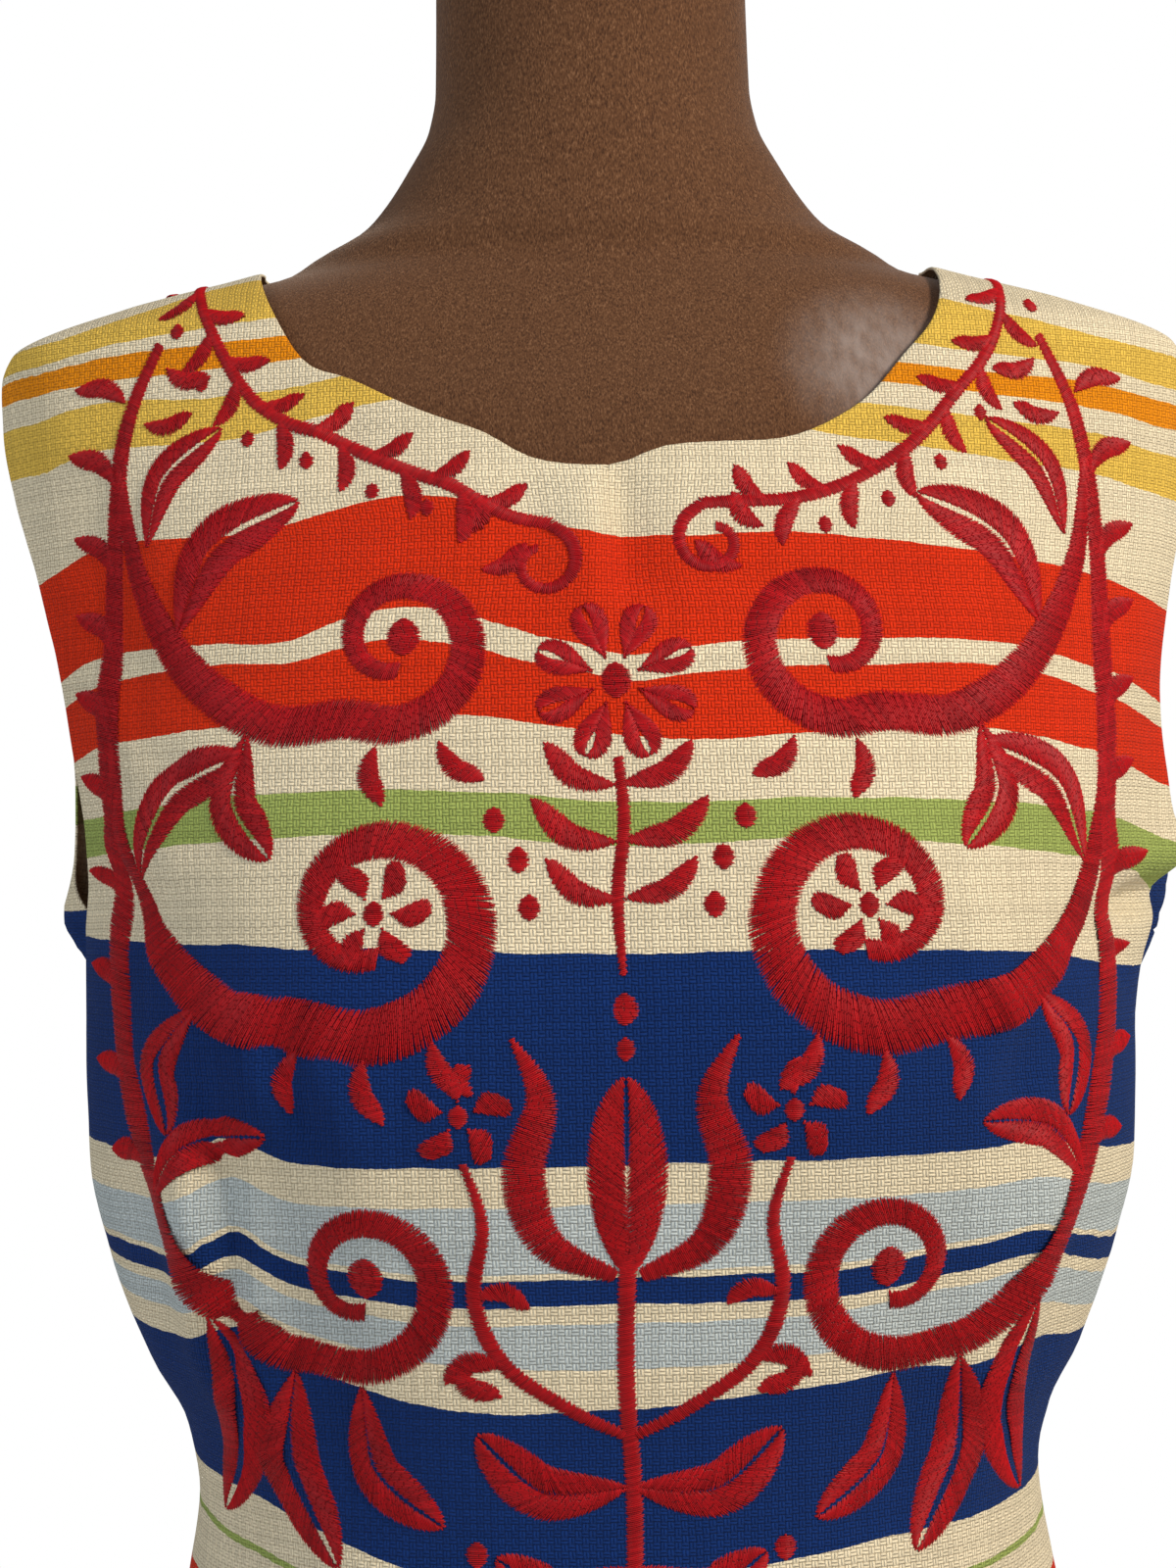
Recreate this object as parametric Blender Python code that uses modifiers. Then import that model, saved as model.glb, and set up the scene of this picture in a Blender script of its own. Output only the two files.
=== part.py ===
"""Sleeveless shift dress with a zip at the back, worn by a limbless dress form on a stand.

Metres, +Z up. The dress faces -Y, and +X is on the right of someone who looks at its front.
The origin is the middle of the stand's underside, on the floor.

Every cloth panel is a patch of one surface, which is stacked from level sections. A place on it is
given by a share and a height: the share is 0 at the centre front or centre back and 1 at the side.
Above the tip of the shoulder the sides of the sections trace the shoulder seam.
"""

import math
from collections import namedtuple

import bmesh
import bpy
from mathutils import Matrix, Vector

# Cloth and seams
CLOTH_THICKNESS = 0.0016
SEAM_GAP = 0.0004
FRONT = -1
BACK = 1
LEFT = -1
RIGHT = 1

# Heights above the floor
HEM_HEIGHT = 0.440
HIP_HEIGHT = 0.790
BUST_HEIGHT = 1.135
UNDERARM_HEIGHT = 1.170
SHOULDER_TIP_HEIGHT = 1.3725
NECK_POINT_HEIGHT = 1.400

# Neck and armholes
NECK_HALF_WIDTH = 0.115
FRONT_NECK_DROP = 0.077
FRONT_NECK_SQUARENESS = {LEFT: 1.8, RIGHT: 2.5}
FRONT_NECK_DIP = 0.0075
FRONT_NECK_DIP_SPREAD = 0.016
BACK_NECK_DROP = 0.028
BACK_NECK_SQUARENESS = 2.0
ARMHOLE_SCOOP = {FRONT: 0.265, BACK: 0.185}
ARMHOLE_SLANT = {FRONT: 0.120, BACK: 0.050}
ARMHOLE_SQUARENESS = 2.2

# Zip at the centre back
ZIP_SLOT_WIDTH = 0.0034
ZIP_END_HEIGHT = 0.930
ZIP_COIL_THICKNESS = 0.0010
ZIP_COIL_RECESS = 0.0002
CENTRE_BACK_GAP = 0.0010
PIECE_GAP = 0.0003
SLIDER_HEIGHT = 1.356
SLIDER_SIZE = (0.0062, 0.0024, 0.0095)
PULL_SIZE = (0.0046, 0.0013, 0.0240)

# Stand and form
REST_GAP = 0.0014
TORSO_BOTTOM = 0.655
NECK_TOP = 1.522
FLANGE_RADIUS = 0.032
FLANGE_THICKNESS = 0.014
POLE_RADIUS = 0.0125
BASE_RADIUS = 0.185
BASE_THICKNESS = 0.016
BASE_EDGE_ROUND = 0.004

# How finely each surface is divided. A narrow strip along each seam keeps the wall square to it.
SEAM_STRIP = 0.012
SIDE_RISE = 0.045
FRONT_COLUMNS = 14
BACK_COLUMNS = 10
SKIRT_ROWS = 24
CHEST_ROWS = 8
NECKLINE_ROWS = 10
BACK_CHEST_ROWS = 11
BACK_NECKLINE_ROWS = 5
ROW_CROWDING = 0.45
PATH_SAMPLES = 300
FORM_AROUND = 36

# A level section: its height, half its width, its reach to the front and to the back of the
# side seams, and how square it is (2 is an ellipse).
Section = namedtuple("Section", "height half_width front back squareness")

DRESS_SECTIONS = [
    Section(0.4400, 0.2120, 0.1500, 0.1520, 2.10),
    Section(0.5600, 0.2050, 0.1430, 0.1500, 2.15),
    Section(0.6800, 0.1960, 0.1350, 0.1450, 2.20),
    Section(0.7900, 0.1845, 0.1280, 0.1370, 2.25),
    Section(0.8700, 0.1690, 0.1210, 0.1220, 2.25),
    Section(0.9250, 0.1545, 0.1150, 0.1040, 2.25),
    Section(0.9610, 0.1452, 0.1115, 0.0950, 2.25),
    Section(0.9880, 0.1418, 0.1110, 0.0920, 2.25),
    Section(1.0120, 0.1458, 0.1135, 0.0915, 2.25),
    Section(1.0320, 0.1567, 0.1170, 0.0925, 2.25),
    Section(1.0660, 0.1692, 0.1235, 0.0955, 2.28),
    Section(1.0980, 0.1755, 0.1295, 0.0990, 2.30),
    Section(1.1370, 0.1762, 0.1330, 0.1030, 2.30),
    Section(1.1700, 0.1765, 0.1310, 0.1060, 2.30),
    Section(1.2300, 0.1890, 0.1190, 0.1090, 2.20),
    Section(1.2800, 0.1985, 0.1040, 0.1060, 2.10),
    Section(1.3180, 0.2060, 0.0900, 0.0990, 2.00),
    Section(1.3450, 0.2090, 0.0785, 0.0910, 1.95),
    Section(1.3620, 0.2082, 0.0710, 0.0835, 1.92),
    Section(1.3725, 0.2045, 0.0665, 0.0780, 1.90),
    Section(1.3860, 0.1715, 0.0610, 0.0710, 1.85),
    Section(1.3940, 0.1395, 0.0580, 0.0665, 1.80),
    Section(1.4000, 0.1150, 0.0565, 0.0640, 1.80),
]

# The form is the figure under the dress: below the arms it has sections of its own, over the
# shoulders it follows the dress, and its neck rises clear of the neckline.
FORM_BODY_SECTIONS = [
    Section(0.6550, 0.1480, 0.0980, 0.1080, 2.2),
    Section(0.6700, 0.1580, 0.1060, 0.1160, 2.2),
    Section(0.7600, 0.1690, 0.1130, 0.1240, 2.2),
    Section(0.8500, 0.1550, 0.1060, 0.1110, 2.2),
    Section(0.9250, 0.1340, 0.0980, 0.0900, 2.2),
    Section(0.9880, 0.1250, 0.0950, 0.0790, 2.2),
    Section(1.0320, 0.1330, 0.0990, 0.0800, 2.2),
    Section(1.0660, 0.1460, 0.1060, 0.0850, 2.2),
    Section(1.0980, 0.1560, 0.1140, 0.0900, 2.3),
    Section(1.1370, 0.1605, 0.1190, 0.0960, 2.3),
    Section(1.1700, 0.1615, 0.1180, 0.0990, 2.3),
    Section(1.2300, 0.1720, 0.1080, 0.1030, 2.2),
    Section(1.2800, 0.1835, 0.0955, 0.1010, 2.1),
    Section(1.3000, 0.1920, 0.0895, 0.0980, 2.05),
    Section(1.3180, 0.2020, 0.0825, 0.0940, 2.0),
]
FORM_NECK_SECTIONS = [
    Section(1.4050, 0.0990, 0.0545, 0.0615, 1.85),
    Section(1.4133, 0.0838, 0.0535, 0.0600, 1.90),
    Section(1.4205, 0.0765, 0.0527, 0.0587, 1.95),
    Section(1.4360, 0.0660, 0.0517, 0.0570, 2.00),
    Section(1.4510, 0.0582, 0.0510, 0.0560, 2.00),
    Section(1.4660, 0.0555, 0.0505, 0.0553, 2.00),
    Section(1.5220, 0.0545, 0.0500, 0.0545, 2.00),
]
SHOULDER_START = 1.340

# Fullness over the bust: how far it lifts the cloth and the form, its place and its spread
Fullness = namedtuple("Fullness", "lift across up spread_across spread_up")
CLOTH_FULLNESS = Fullness(0.008, 0.085, BUST_HEIGHT, 0.048, 0.055)
FORM_FULLNESS = Fullness(0.016, 0.085, BUST_HEIGHT, 0.040, 0.050)

# Soft folds. Each runs from a top point to a bottom point, given as x and height, and rises by
# its lift (or sinks, where that is negative) over its half width.
Fold = namedtuple("Fold", "face top_x top_height bottom_x bottom_height half_width lift")
FOLDS = [
    Fold(FRONT, -0.128, 1.125, -0.104, 0.985, 0.011, 0.0045),
    Fold(FRONT, -0.104, 1.120, -0.078, 0.975, 0.012, -0.0030),
    Fold(FRONT, 0.128, 1.130, 0.112, 0.990, 0.013, 0.0040),
    Fold(FRONT, 0.104, 1.105, 0.076, 0.970, 0.012, -0.0025),
    Fold(FRONT, 0.180, 1.196, 0.142, 1.164, 0.007, -0.0060),
    Fold(FRONT, 0.186, 1.214, 0.140, 1.188, 0.010, 0.0045),
    Fold(FRONT, -0.176, 1.330, -0.150, 1.235, 0.012, -0.0035),
    Fold(FRONT, 0.176, 1.325, 0.152, 1.230, 0.012, -0.0020),
    Fold(FRONT, -0.120, 0.930, -0.150, 0.800, 0.016, 0.0035),
    Fold(FRONT, 0.118, 0.935, 0.152, 0.790, 0.016, 0.0035),
    Fold(BACK, -0.100, 1.060, -0.055, 0.955, 0.013, 0.0050),
    Fold(BACK, 0.096, 1.070, 0.048, 0.950, 0.013, 0.0045),
    Fold(BACK, -0.060, 1.090, -0.030, 1.000, 0.011, -0.0030),
    Fold(BACK, 0.066, 1.085, 0.030, 0.985, 0.011, -0.0030),
    Fold(BACK, -0.160, 1.290, -0.120, 1.190, 0.014, 0.0030),
    Fold(BACK, 0.160, 1.280, 0.122, 1.185, 0.014, 0.0030),
    Fold(BACK, 0.110, 0.900, 0.145, 0.760, 0.018, -0.0030),
]

# Soft flutes of the skirt, which grow from the hip to the hem: how many go round the skirt, how
# deep each set is at the hem, and where it starts, in radians
Flute = namedtuple("Flute", "count depth start")
FLUTES = [
    Flute(4, 0.0050, 0.6),
    Flute(7, 0.0042, math.pi),
    Flute(11, 0.0016, 0.0),
]

COLOURS = {
    "printed_cotton": ((0.82, 0.74, 0.58, 1.0), 0.85, 0.0),
    "zip_coil": ((0.78, 0.72, 0.60, 1.0), 0.60, 0.0),
    "zip_metal": ((0.62, 0.61, 0.58, 1.0), 0.30, 1.0),
    "form_cloth": ((0.145, 0.080, 0.042, 1.0), 0.90, 0.0),
    "stand_wood": ((0.30, 0.16, 0.08, 1.0), 0.50, 0.0),
    "stand_metal": ((0.05, 0.05, 0.055, 1.0), 0.40, 1.0),
}


class Stack:
    """Sections in order of height, with a smooth curve through each of their columns."""

    def __init__(self, sections):
        self.sections = sorted(sections)
        self.heights = [section.height for section in self.sections]
        columns = list(zip(*self.sections))
        self.columns = [(values, self.slopes(values)) for values in columns]

    def slopes(self, values):
        """A slope at each height that never lets the curve overshoot its sections."""
        steps = [b - a for a, b in zip(self.heights, self.heights[1:])]
        rises = [(b - a) / step for a, b, step in zip(values, values[1:], steps)]
        found = [rises[0]]
        for below, above in zip(rises, rises[1:]):
            found.append(0.0 if below * above <= 0 else 2 * below * above / (below + above))
        return found + [rises[-1]]

    def at(self, height):
        """The section at a height."""
        last = len(self.heights) - 2
        place = 0
        while place < last and height > self.heights[place + 1]:
            place += 1
        step = self.heights[place + 1] - self.heights[place]
        t = min(1.0, max(0.0, (height - self.heights[place]) / step))
        found = []
        for values, slopes in self.columns:
            start, end = values[place], values[place + 1]
            found.append(
                (2 * t**3 - 3 * t**2 + 1) * start
                + (t**3 - 2 * t**2 + t) * step * slopes[place]
                + (3 * t**2 - 2 * t**3) * end
                + (t**3 - t**2) * step * slopes[place + 1]
            )
        return Section(*found)


def form_shoulder_sections():
    """The form's sections over the shoulders: the dress's, lowered and drawn in by the cloth."""
    inset = CLOTH_THICKNESS + REST_GAP
    return [
        section._replace(
            height=section.height - inset,
            half_width=section.half_width - inset * 0.8,
            front=section.front - inset,
            back=section.back - inset,
        )
        for section in DRESS_SECTIONS
        if section.height > SHOULDER_START
    ]


DRESS = Stack(DRESS_SECTIONS)
FORM = Stack(FORM_BODY_SECTIONS + form_shoulder_sections() + FORM_NECK_SECTIONS)


def smooth_step(value):
    """0 below 0, 1 above 1 and a smooth rise between."""
    value = min(1.0, max(0.0, value))
    return value * value * (3 - 2 * value)


def bust_lift(fullness, x, height):
    """How far the fullness over the bust pushes the front out at a place."""
    aside = (abs(x) - fullness.across) / fullness.spread_across
    above = (height - fullness.up) / fullness.spread_up
    return fullness.lift * math.exp(-0.5 * (aside**2 + above**2))


def fold_lift(face, x, height):
    """How far the soft folds push a panel out at a place."""
    lift = 0.0
    for fold in FOLDS:
        if fold.face != face:
            continue
        run_x = fold.bottom_x - fold.top_x
        run_up = fold.bottom_height - fold.top_height
        length = math.hypot(run_x, run_up)
        along = ((x - fold.top_x) * run_x + (height - fold.top_height) * run_up) / length**2
        across = ((x - fold.top_x) * run_up - (height - fold.top_height) * run_x) / length
        if -0.5 < along < 1.5:
            ends = math.exp(-2.5 * (2 * along - 1) ** 4)
            lift += fold.lift * ends * math.exp(-0.5 * (across / fold.half_width) ** 2)
    return lift


def flute_lift(side, face, share, height):
    """How far the flutes of the skirt push it out, in one smooth wave all the way round."""
    turn = share * math.pi / 2
    around = side * (turn if face == FRONT else math.pi - turn)
    drop = (HIP_HEIGHT - height) / (HIP_HEIGHT - HEM_HEIGHT)
    wave = sum(flute.depth * math.cos(flute.count * around + flute.start) for flute in FLUTES)
    return wave * smooth_step(drop)


def on_section(section, face, share):
    """x and y on a section, and its outward direction there, on the +X side."""
    turn = share * math.pi / 2
    power = 2 / section.squareness
    reach = section.back if face == BACK else section.front
    x = section.half_width * max(0.0, math.sin(turn)) ** power
    y = reach * max(0.0, math.cos(turn)) ** power
    out_x = (x / section.half_width) ** (section.squareness - 1) / section.half_width
    out_y = (y / reach) ** (section.squareness - 1) / reach
    return x, face * y, Vector((out_x, face * out_y, 0)).normalized()


def dress_point(side, face, share, height):
    """A point on the outside of the dress."""
    section = DRESS.at(height)
    x, y, outward = on_section(section, face, share)
    lift = fold_lift(face, side * x, height) * smooth_step((1 - share) * 6)
    lift += flute_lift(side, face, share, height)
    if face == FRONT:
        lift += bust_lift(CLOTH_FULLNESS, x, height)
    x += lift * outward.x
    y += lift * outward.y
    return Vector((side * x, y, height))


def share_at(x, height):
    """The share at which the section at a height is x wide."""
    section = DRESS.at(height)
    return math.asin(min(1.0, x / section.half_width) ** (section.squareness / 2)) * 2 / math.pi


def spread(bottom, top, steps):
    """steps + 1 evenly spaced values."""
    return [bottom + (top - bottom) * step / steps for step in range(steps + 1)]


def parts_to_seam(steps):
    """Values from 0 to 1, evenly spaced but for one more just before the end."""
    return spread(0.0, 1.0, steps)[:-1] + [1 - SEAM_STRIP, 1.0]


def resampled(path, side, face, rows):
    """Places along a path of (share, height), closer together towards its end, on a seam."""
    points = [dress_point(side, face, share, height) for share, height in path]
    travelled = [0.0]
    for a, b in zip(points, points[1:]):
        travelled.append(travelled[-1] + (b - a).length)
    places = []
    index = 0
    for part in parts_to_seam(rows):
        goal = travelled[-1] * (part + ROW_CROWDING * part * (1 - part))
        while index < len(path) - 2 and travelled[index + 1] < goal:
            index += 1
        t = (goal - travelled[index]) / (travelled[index + 1] - travelled[index])
        (share_a, height_a), (share_b, height_b) = path[index], path[index + 1]
        places.append((share_a + t * (share_b - share_a), height_a + t * (height_b - height_a)))
    return places


def armhole_path(face):
    """The armhole, from the top of the side seam to the tip of the shoulder."""
    middle = (UNDERARM_HEIGHT + SHOULDER_TIP_HEIGHT) / 2
    radius = (SHOULDER_TIP_HEIGHT - UNDERARM_HEIGHT) / 2
    power = 2 / ARMHOLE_SQUARENESS
    path = []
    for step in range(PATH_SAMPLES + 1):
        turn = math.pi * step / PATH_SAMPLES
        rise = math.copysign(abs(math.cos(turn)) ** power, -math.cos(turn))
        scoop = ARMHOLE_SCOOP[face] - ARMHOLE_SLANT[face] * rise
        share = 1 - scoop * max(0.0, math.sin(turn)) ** power
        path.append((share, middle + radius * rise))
    return path


def neckline_path(side, face, start_x):
    """The neckline, from the centre to the shoulder seam."""
    drop = FRONT_NECK_DROP if face == FRONT else BACK_NECK_DROP
    squareness = FRONT_NECK_SQUARENESS[side] if face == FRONT else BACK_NECK_SQUARENESS
    path = []
    for step in range(PATH_SAMPLES + 1):
        turn = math.pi / 2 * step / PATH_SAMPLES
        x = start_x + (NECK_HALF_WIDTH - start_x) * math.sin(turn) ** (2 / squareness)
        height = NECK_POINT_HEIGHT - drop * max(0.0, math.cos(turn)) ** (2 / squareness)
        if face == FRONT:
            height -= FRONT_NECK_DIP * math.exp(-((x / FRONT_NECK_DIP_SPREAD) ** 2))
        path.append((share_at(x, height), height))
    return path[:-1] + [(1.0, NECK_POINT_HEIGHT)]


def inner_edge(side, face, neck_rows, chest_rows, half_gap):
    """The places up the centre of a panel, half a gap from the middle, and round the neckline."""
    neck = resampled(neckline_path(side, face, half_gap(NECK_POINT_HEIGHT)), side, face, neck_rows)
    chest_bottom = UNDERARM_HEIGHT - SIDE_RISE
    heights = spread(HEM_HEIGHT, chest_bottom, SKIRT_ROWS)
    heights += spread(chest_bottom, neck[0][1], chest_rows)[1:-1]
    return [(share_at(half_gap(height), height), height) for height in heights] + neck


def outer_edge(side, face, armhole_rows):
    """The places up the side seam and round the armhole."""
    seam = [(1.0, height) for height in spread(HEM_HEIGHT, UNDERARM_HEIGHT, SKIRT_ROWS)]
    return seam + resampled(armhole_path(face), side, face, armhole_rows)[1:]


def panel_places(side, face, columns, inner, outer):
    """The places of a panel's grid, row by row, between its inner and its outer edge."""
    grid = []
    for (share_in, height_in), (share_out, height_out) in zip(inner, outer):
        row = []
        for part in parts_to_seam(columns):
            share = share_in + part * (share_out - share_in)
            height = height_in + part * (height_out - height_in)
            row.append(dress_point(side, face, share, height))
        grid.append(row)
    return grid


def add_grid(mesh, grid, flip):
    """Adds a grid of points to a mesh as quads."""
    rows = [[mesh.verts.new(point) for point in row] for row in grid]
    for lower, upper in zip(rows, rows[1:]):
        for column in range(len(lower) - 1):
            corners = [lower[column], lower[column + 1], upper[column + 1], upper[column]]
            mesh.faces.new(corners[::-1] if flip else corners)


def link_mesh(name, mesh, slot, smooth_angle=40):
    """Makes an object of a bmesh, shaded smooth, in the slot's colour."""
    data = bpy.data.meshes.new(name)
    mesh.to_mesh(data)
    mesh.free()
    data.materials.append(MATERIALS[slot])
    data.shade_smooth()
    data.set_sharp_from_angle(angle=math.radians(smooth_angle))
    placed = bpy.data.objects.new(name, data)
    COLLECTION.objects.link(placed)
    return placed


def add_wall(placed, thickness):
    """Gives a cloth surface its thickness, inwards."""
    wall = placed.modifiers.new("wall", "SOLIDIFY")
    wall.thickness = thickness
    wall.offset = -1
    wall.use_even_offset = True
    wall.use_quality_normals = True


def make_front():
    """The front, cut in one piece from shoulder to hem."""
    mesh = bmesh.new()
    for side in (LEFT, RIGHT):
        inner = inner_edge(side, FRONT, NECKLINE_ROWS, CHEST_ROWS, lambda height: 0.0)
        outer = outer_edge(side, FRONT, CHEST_ROWS + NECKLINE_ROWS)
        grid = panel_places(side, FRONT, FRONT_COLUMNS, inner, outer)
        add_grid(mesh, grid, flip=side == LEFT)
    bmesh.ops.remove_doubles(mesh, verts=mesh.verts, dist=1e-6)
    bmesh.ops.translate(mesh, verts=mesh.verts, vec=(0, -SEAM_GAP / 2, 0))
    add_wall(link_mesh("front", mesh, "printed_cotton"), CLOTH_THICKNESS)


def back_half_gap(height):
    """Half the gap at the centre back: the zip's slot above its end, a plain seam below."""
    return (ZIP_SLOT_WIDTH if height > ZIP_END_HEIGHT else CENTRE_BACK_GAP) / 2


def make_back(side, name):
    """One half of the back, from shoulder to hem."""
    inner = inner_edge(side, BACK, BACK_NECKLINE_ROWS, BACK_CHEST_ROWS, back_half_gap)
    outer = outer_edge(side, BACK, BACK_CHEST_ROWS + BACK_NECKLINE_ROWS)
    mesh = bmesh.new()
    add_grid(mesh, panel_places(side, BACK, BACK_COLUMNS, inner, outer), flip=side == RIGHT)
    bmesh.ops.translate(mesh, verts=mesh.verts, vec=(0, SEAM_GAP / 2, 0))
    add_wall(link_mesh(name, mesh, "printed_cotton"), CLOTH_THICKNESS)


def centre_back_frame(height):
    """The point on the centre back at a height, and the directions up along it and outwards."""
    step = 0.002
    low, point, high = (dress_point(RIGHT, BACK, 0.0, height + d) for d in (-step, 0, step))
    up = (high - low).normalized()
    outward = up.cross(Vector((1, 0, 0))).normalized()
    return point + Vector((0, SEAM_GAP / 2, 0)), up, outward


def make_zip():
    """The closed coil of the zip, in the slot between the two halves of the back."""
    rows = 22
    half_width = ZIP_SLOT_WIDTH / 2 - PIECE_GAP
    bottom = ZIP_END_HEIGHT + (UNDERARM_HEIGHT - HEM_HEIGHT) / SKIRT_ROWS
    top = NECK_POINT_HEIGHT - BACK_NECK_DROP - 0.004
    mesh = bmesh.new()
    grid = []
    for row in range(rows + 1):
        point, _, outward = centre_back_frame(bottom + (top - bottom) * row / rows)
        centre = point - outward * ZIP_COIL_RECESS
        grid.append([centre + Vector((across, 0, 0)) for across in (half_width, -half_width)])
    add_grid(mesh, grid, flip=False)
    add_wall(link_mesh("zip_coil", mesh, "zip_coil"), ZIP_COIL_THICKNESS)


def rounded_box(name, size, slot, edge):
    """A box with rounded edges, centred on its object's origin."""
    mesh = bmesh.new()
    bmesh.ops.create_cube(mesh, size=1.0, matrix=Matrix.Diagonal((*size, 1.0)))
    placed = link_mesh(name, mesh, slot)
    bevel = placed.modifiers.new("rounded", "BEVEL")
    bevel.width = edge
    bevel.segments = 2
    return placed


def upright_on_back(height, clear):
    """A matrix that stands a piece on the centre back, its own +Y outwards, clear of the cloth."""
    point, up, outward = centre_back_frame(height)
    turned = Matrix((Vector((1, 0, 0)), outward, up)).transposed().to_4x4()
    return Matrix.Translation(point + outward * clear) @ turned


def make_slider():
    """The zip's slider, at the top of the coil."""
    clear = PIECE_GAP + SLIDER_SIZE[1] / 2
    slider = rounded_box("zip_slider", SLIDER_SIZE, "zip_metal", edge=0.0006)
    slider.matrix_world = upright_on_back(SLIDER_HEIGHT, clear)


def make_pull():
    """The zip's pull tab, which swings on an axis along X at its upper end."""
    clear = 2 * PIECE_GAP + SLIDER_SIZE[1] + PULL_SIZE[1] / 2
    hinge_above = SLIDER_SIZE[2] / 2 - PULL_SIZE[1] / 2
    pull = rounded_box("zip_pull", PULL_SIZE, "zip_metal", edge=PULL_SIZE[1] * 0.45)
    hang = PULL_SIZE[2] / 2 - PULL_SIZE[1] / 2
    pull.data.transform(Matrix.Translation((0, 0, -hang)))
    hinge = upright_on_back(SLIDER_HEIGHT, clear) @ Matrix.Translation((0, 0, hinge_above))
    pull.matrix_world = hinge


def form_ring(height):
    """The points of one level ring of the form."""
    section = FORM.at(height)
    quarter = FORM_AROUND // 4
    ring = []
    for index in range(FORM_AROUND):
        angle = 2 * math.pi * index / FORM_AROUND
        side = RIGHT if math.sin(angle) >= 0 else LEFT
        face = FRONT if math.cos(angle) >= 0 else BACK
        folded = index % (2 * quarter)
        share = (folded if folded <= quarter else 2 * quarter - folded) / quarter
        x, y, outward = on_section(section, face, share)
        if face == FRONT:
            lift = bust_lift(FORM_FULLNESS, x, height)
            x, y = x + lift * outward.x, y + lift * outward.y
        ring.append(Vector((side * x, y, height)))
    return ring


def form_heights():
    """The heights of the form's rings, closest together over the shoulders."""
    stretches = [
        (TORSO_BOTTOM, 0.670, 2),
        (0.670, 1.300, 18),
        (1.300, SHOULDER_START, 5),
        (SHOULDER_START, 1.390, 8),
        (1.390, 1.4660, 8),
        (1.4660, NECK_TOP, 2),
    ]
    heights = [TORSO_BOTTOM]
    for bottom, top, rows in stretches:
        heights += [bottom + (top - bottom) * row / rows for row in range(1, rows + 1)]
    return heights


def make_form():
    """The smooth torso and neck of the form, in one piece."""
    mesh = bmesh.new()
    rings = [[mesh.verts.new(point) for point in form_ring(h)] for h in form_heights()]
    for lower, upper in zip(rings, rings[1:]):
        for index in range(FORM_AROUND):
            after = (index + 1) % FORM_AROUND
            mesh.faces.new((lower[index], lower[after], upper[after], upper[index]))
    mesh.faces.new(rings[0][::-1])
    mesh.faces.new(rings[-1])
    bmesh.ops.recalc_face_normals(mesh, faces=mesh.faces)
    link_mesh("form_torso", mesh, "form_cloth")


def make_turned(name, profile, slot):
    """A turned piece from its outer profile, top to bottom, as (radius, height)."""
    mesh = bmesh.new()
    points = [mesh.verts.new((radius, 0, height)) for radius, height in profile]
    for a, b in zip(points, points[1:]):
        mesh.edges.new((a, b))
    turned = link_mesh(name, mesh, slot)
    screw = turned.modifiers.new("turned", "SCREW")
    screw.steps = 32
    screw.render_steps = 32
    screw.use_merge_vertices = True
    screw.merge_threshold = 0.0001
    return turned


def make_neck_cap():
    """A plain turned cap with a knob, on top of the neck."""
    bottom = NECK_TOP + PIECE_GAP
    profile = [
        (0.0, bottom + 0.044),
        (0.008, bottom + 0.042),
        (0.013, bottom + 0.035),
        (0.013, bottom + 0.029),
        (0.007, bottom + 0.021),
        (0.009, bottom + 0.015),
        (0.030, bottom + 0.011),
        (0.047, bottom + 0.006),
        (0.049, bottom + 0.002),
        (0.047, bottom),
        (0.0, bottom),
    ]
    make_turned("neck_cap", profile, "stand_wood")


def make_stand():
    """The flange under the torso, the pole and the round base."""
    flange_top = TORSO_BOTTOM - PIECE_GAP
    flange_bottom = flange_top - FLANGE_THICKNESS
    flange = [
        (0.0, flange_top),
        (FLANGE_RADIUS, flange_top),
        (FLANGE_RADIUS, flange_top - FLANGE_THICKNESS * 0.35),
        (POLE_RADIUS * 1.4, flange_bottom),
        (0.0, flange_bottom),
    ]
    make_turned("pole_flange", flange, "stand_metal")
    pole_top = flange_bottom - PIECE_GAP
    pole_bottom = BASE_THICKNESS + PIECE_GAP
    pole = [(0.0, pole_top), (POLE_RADIUS, pole_top), (POLE_RADIUS, pole_bottom), (0.0, pole_bottom)]
    make_turned("stand_pole", pole, "stand_metal")
    base = [
        (0.0, BASE_THICKNESS),
        (BASE_RADIUS - BASE_EDGE_ROUND, BASE_THICKNESS),
        (BASE_RADIUS - BASE_EDGE_ROUND * 0.3, BASE_THICKNESS - BASE_EDGE_ROUND * 0.3),
        (BASE_RADIUS, BASE_THICKNESS - BASE_EDGE_ROUND),
        (BASE_RADIUS, 0.0),
        (0.0, 0.0),
    ]
    make_turned("stand_base", base, "stand_metal")


def make_material(name, colour, roughness, metallic):
    """A plain material in the slot's colour."""
    material = bpy.data.materials.new(name)
    material.use_nodes = True
    shader = material.node_tree.nodes["Principled BSDF"]
    shader.inputs["Base Color"].default_value = colour
    shader.inputs["Roughness"].default_value = roughness
    shader.inputs["Metallic"].default_value = metallic
    return material


for old in list(bpy.data.objects):
    bpy.data.objects.remove(old)
COLLECTION = bpy.data.collections.new("shift_dress_on_form")
bpy.context.scene.collection.children.link(COLLECTION)
MATERIALS = {name: make_material(name, *look) for name, look in COLOURS.items()}

make_front()
make_back(LEFT, "back_left")
make_back(RIGHT, "back_right")
make_zip()
make_slider()
make_pull()
make_form()
make_neck_cap()
make_stand()
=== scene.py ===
import math
from collections import namedtuple

import bmesh
import bpy
from mathutils import Matrix, Vector, noise


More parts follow.
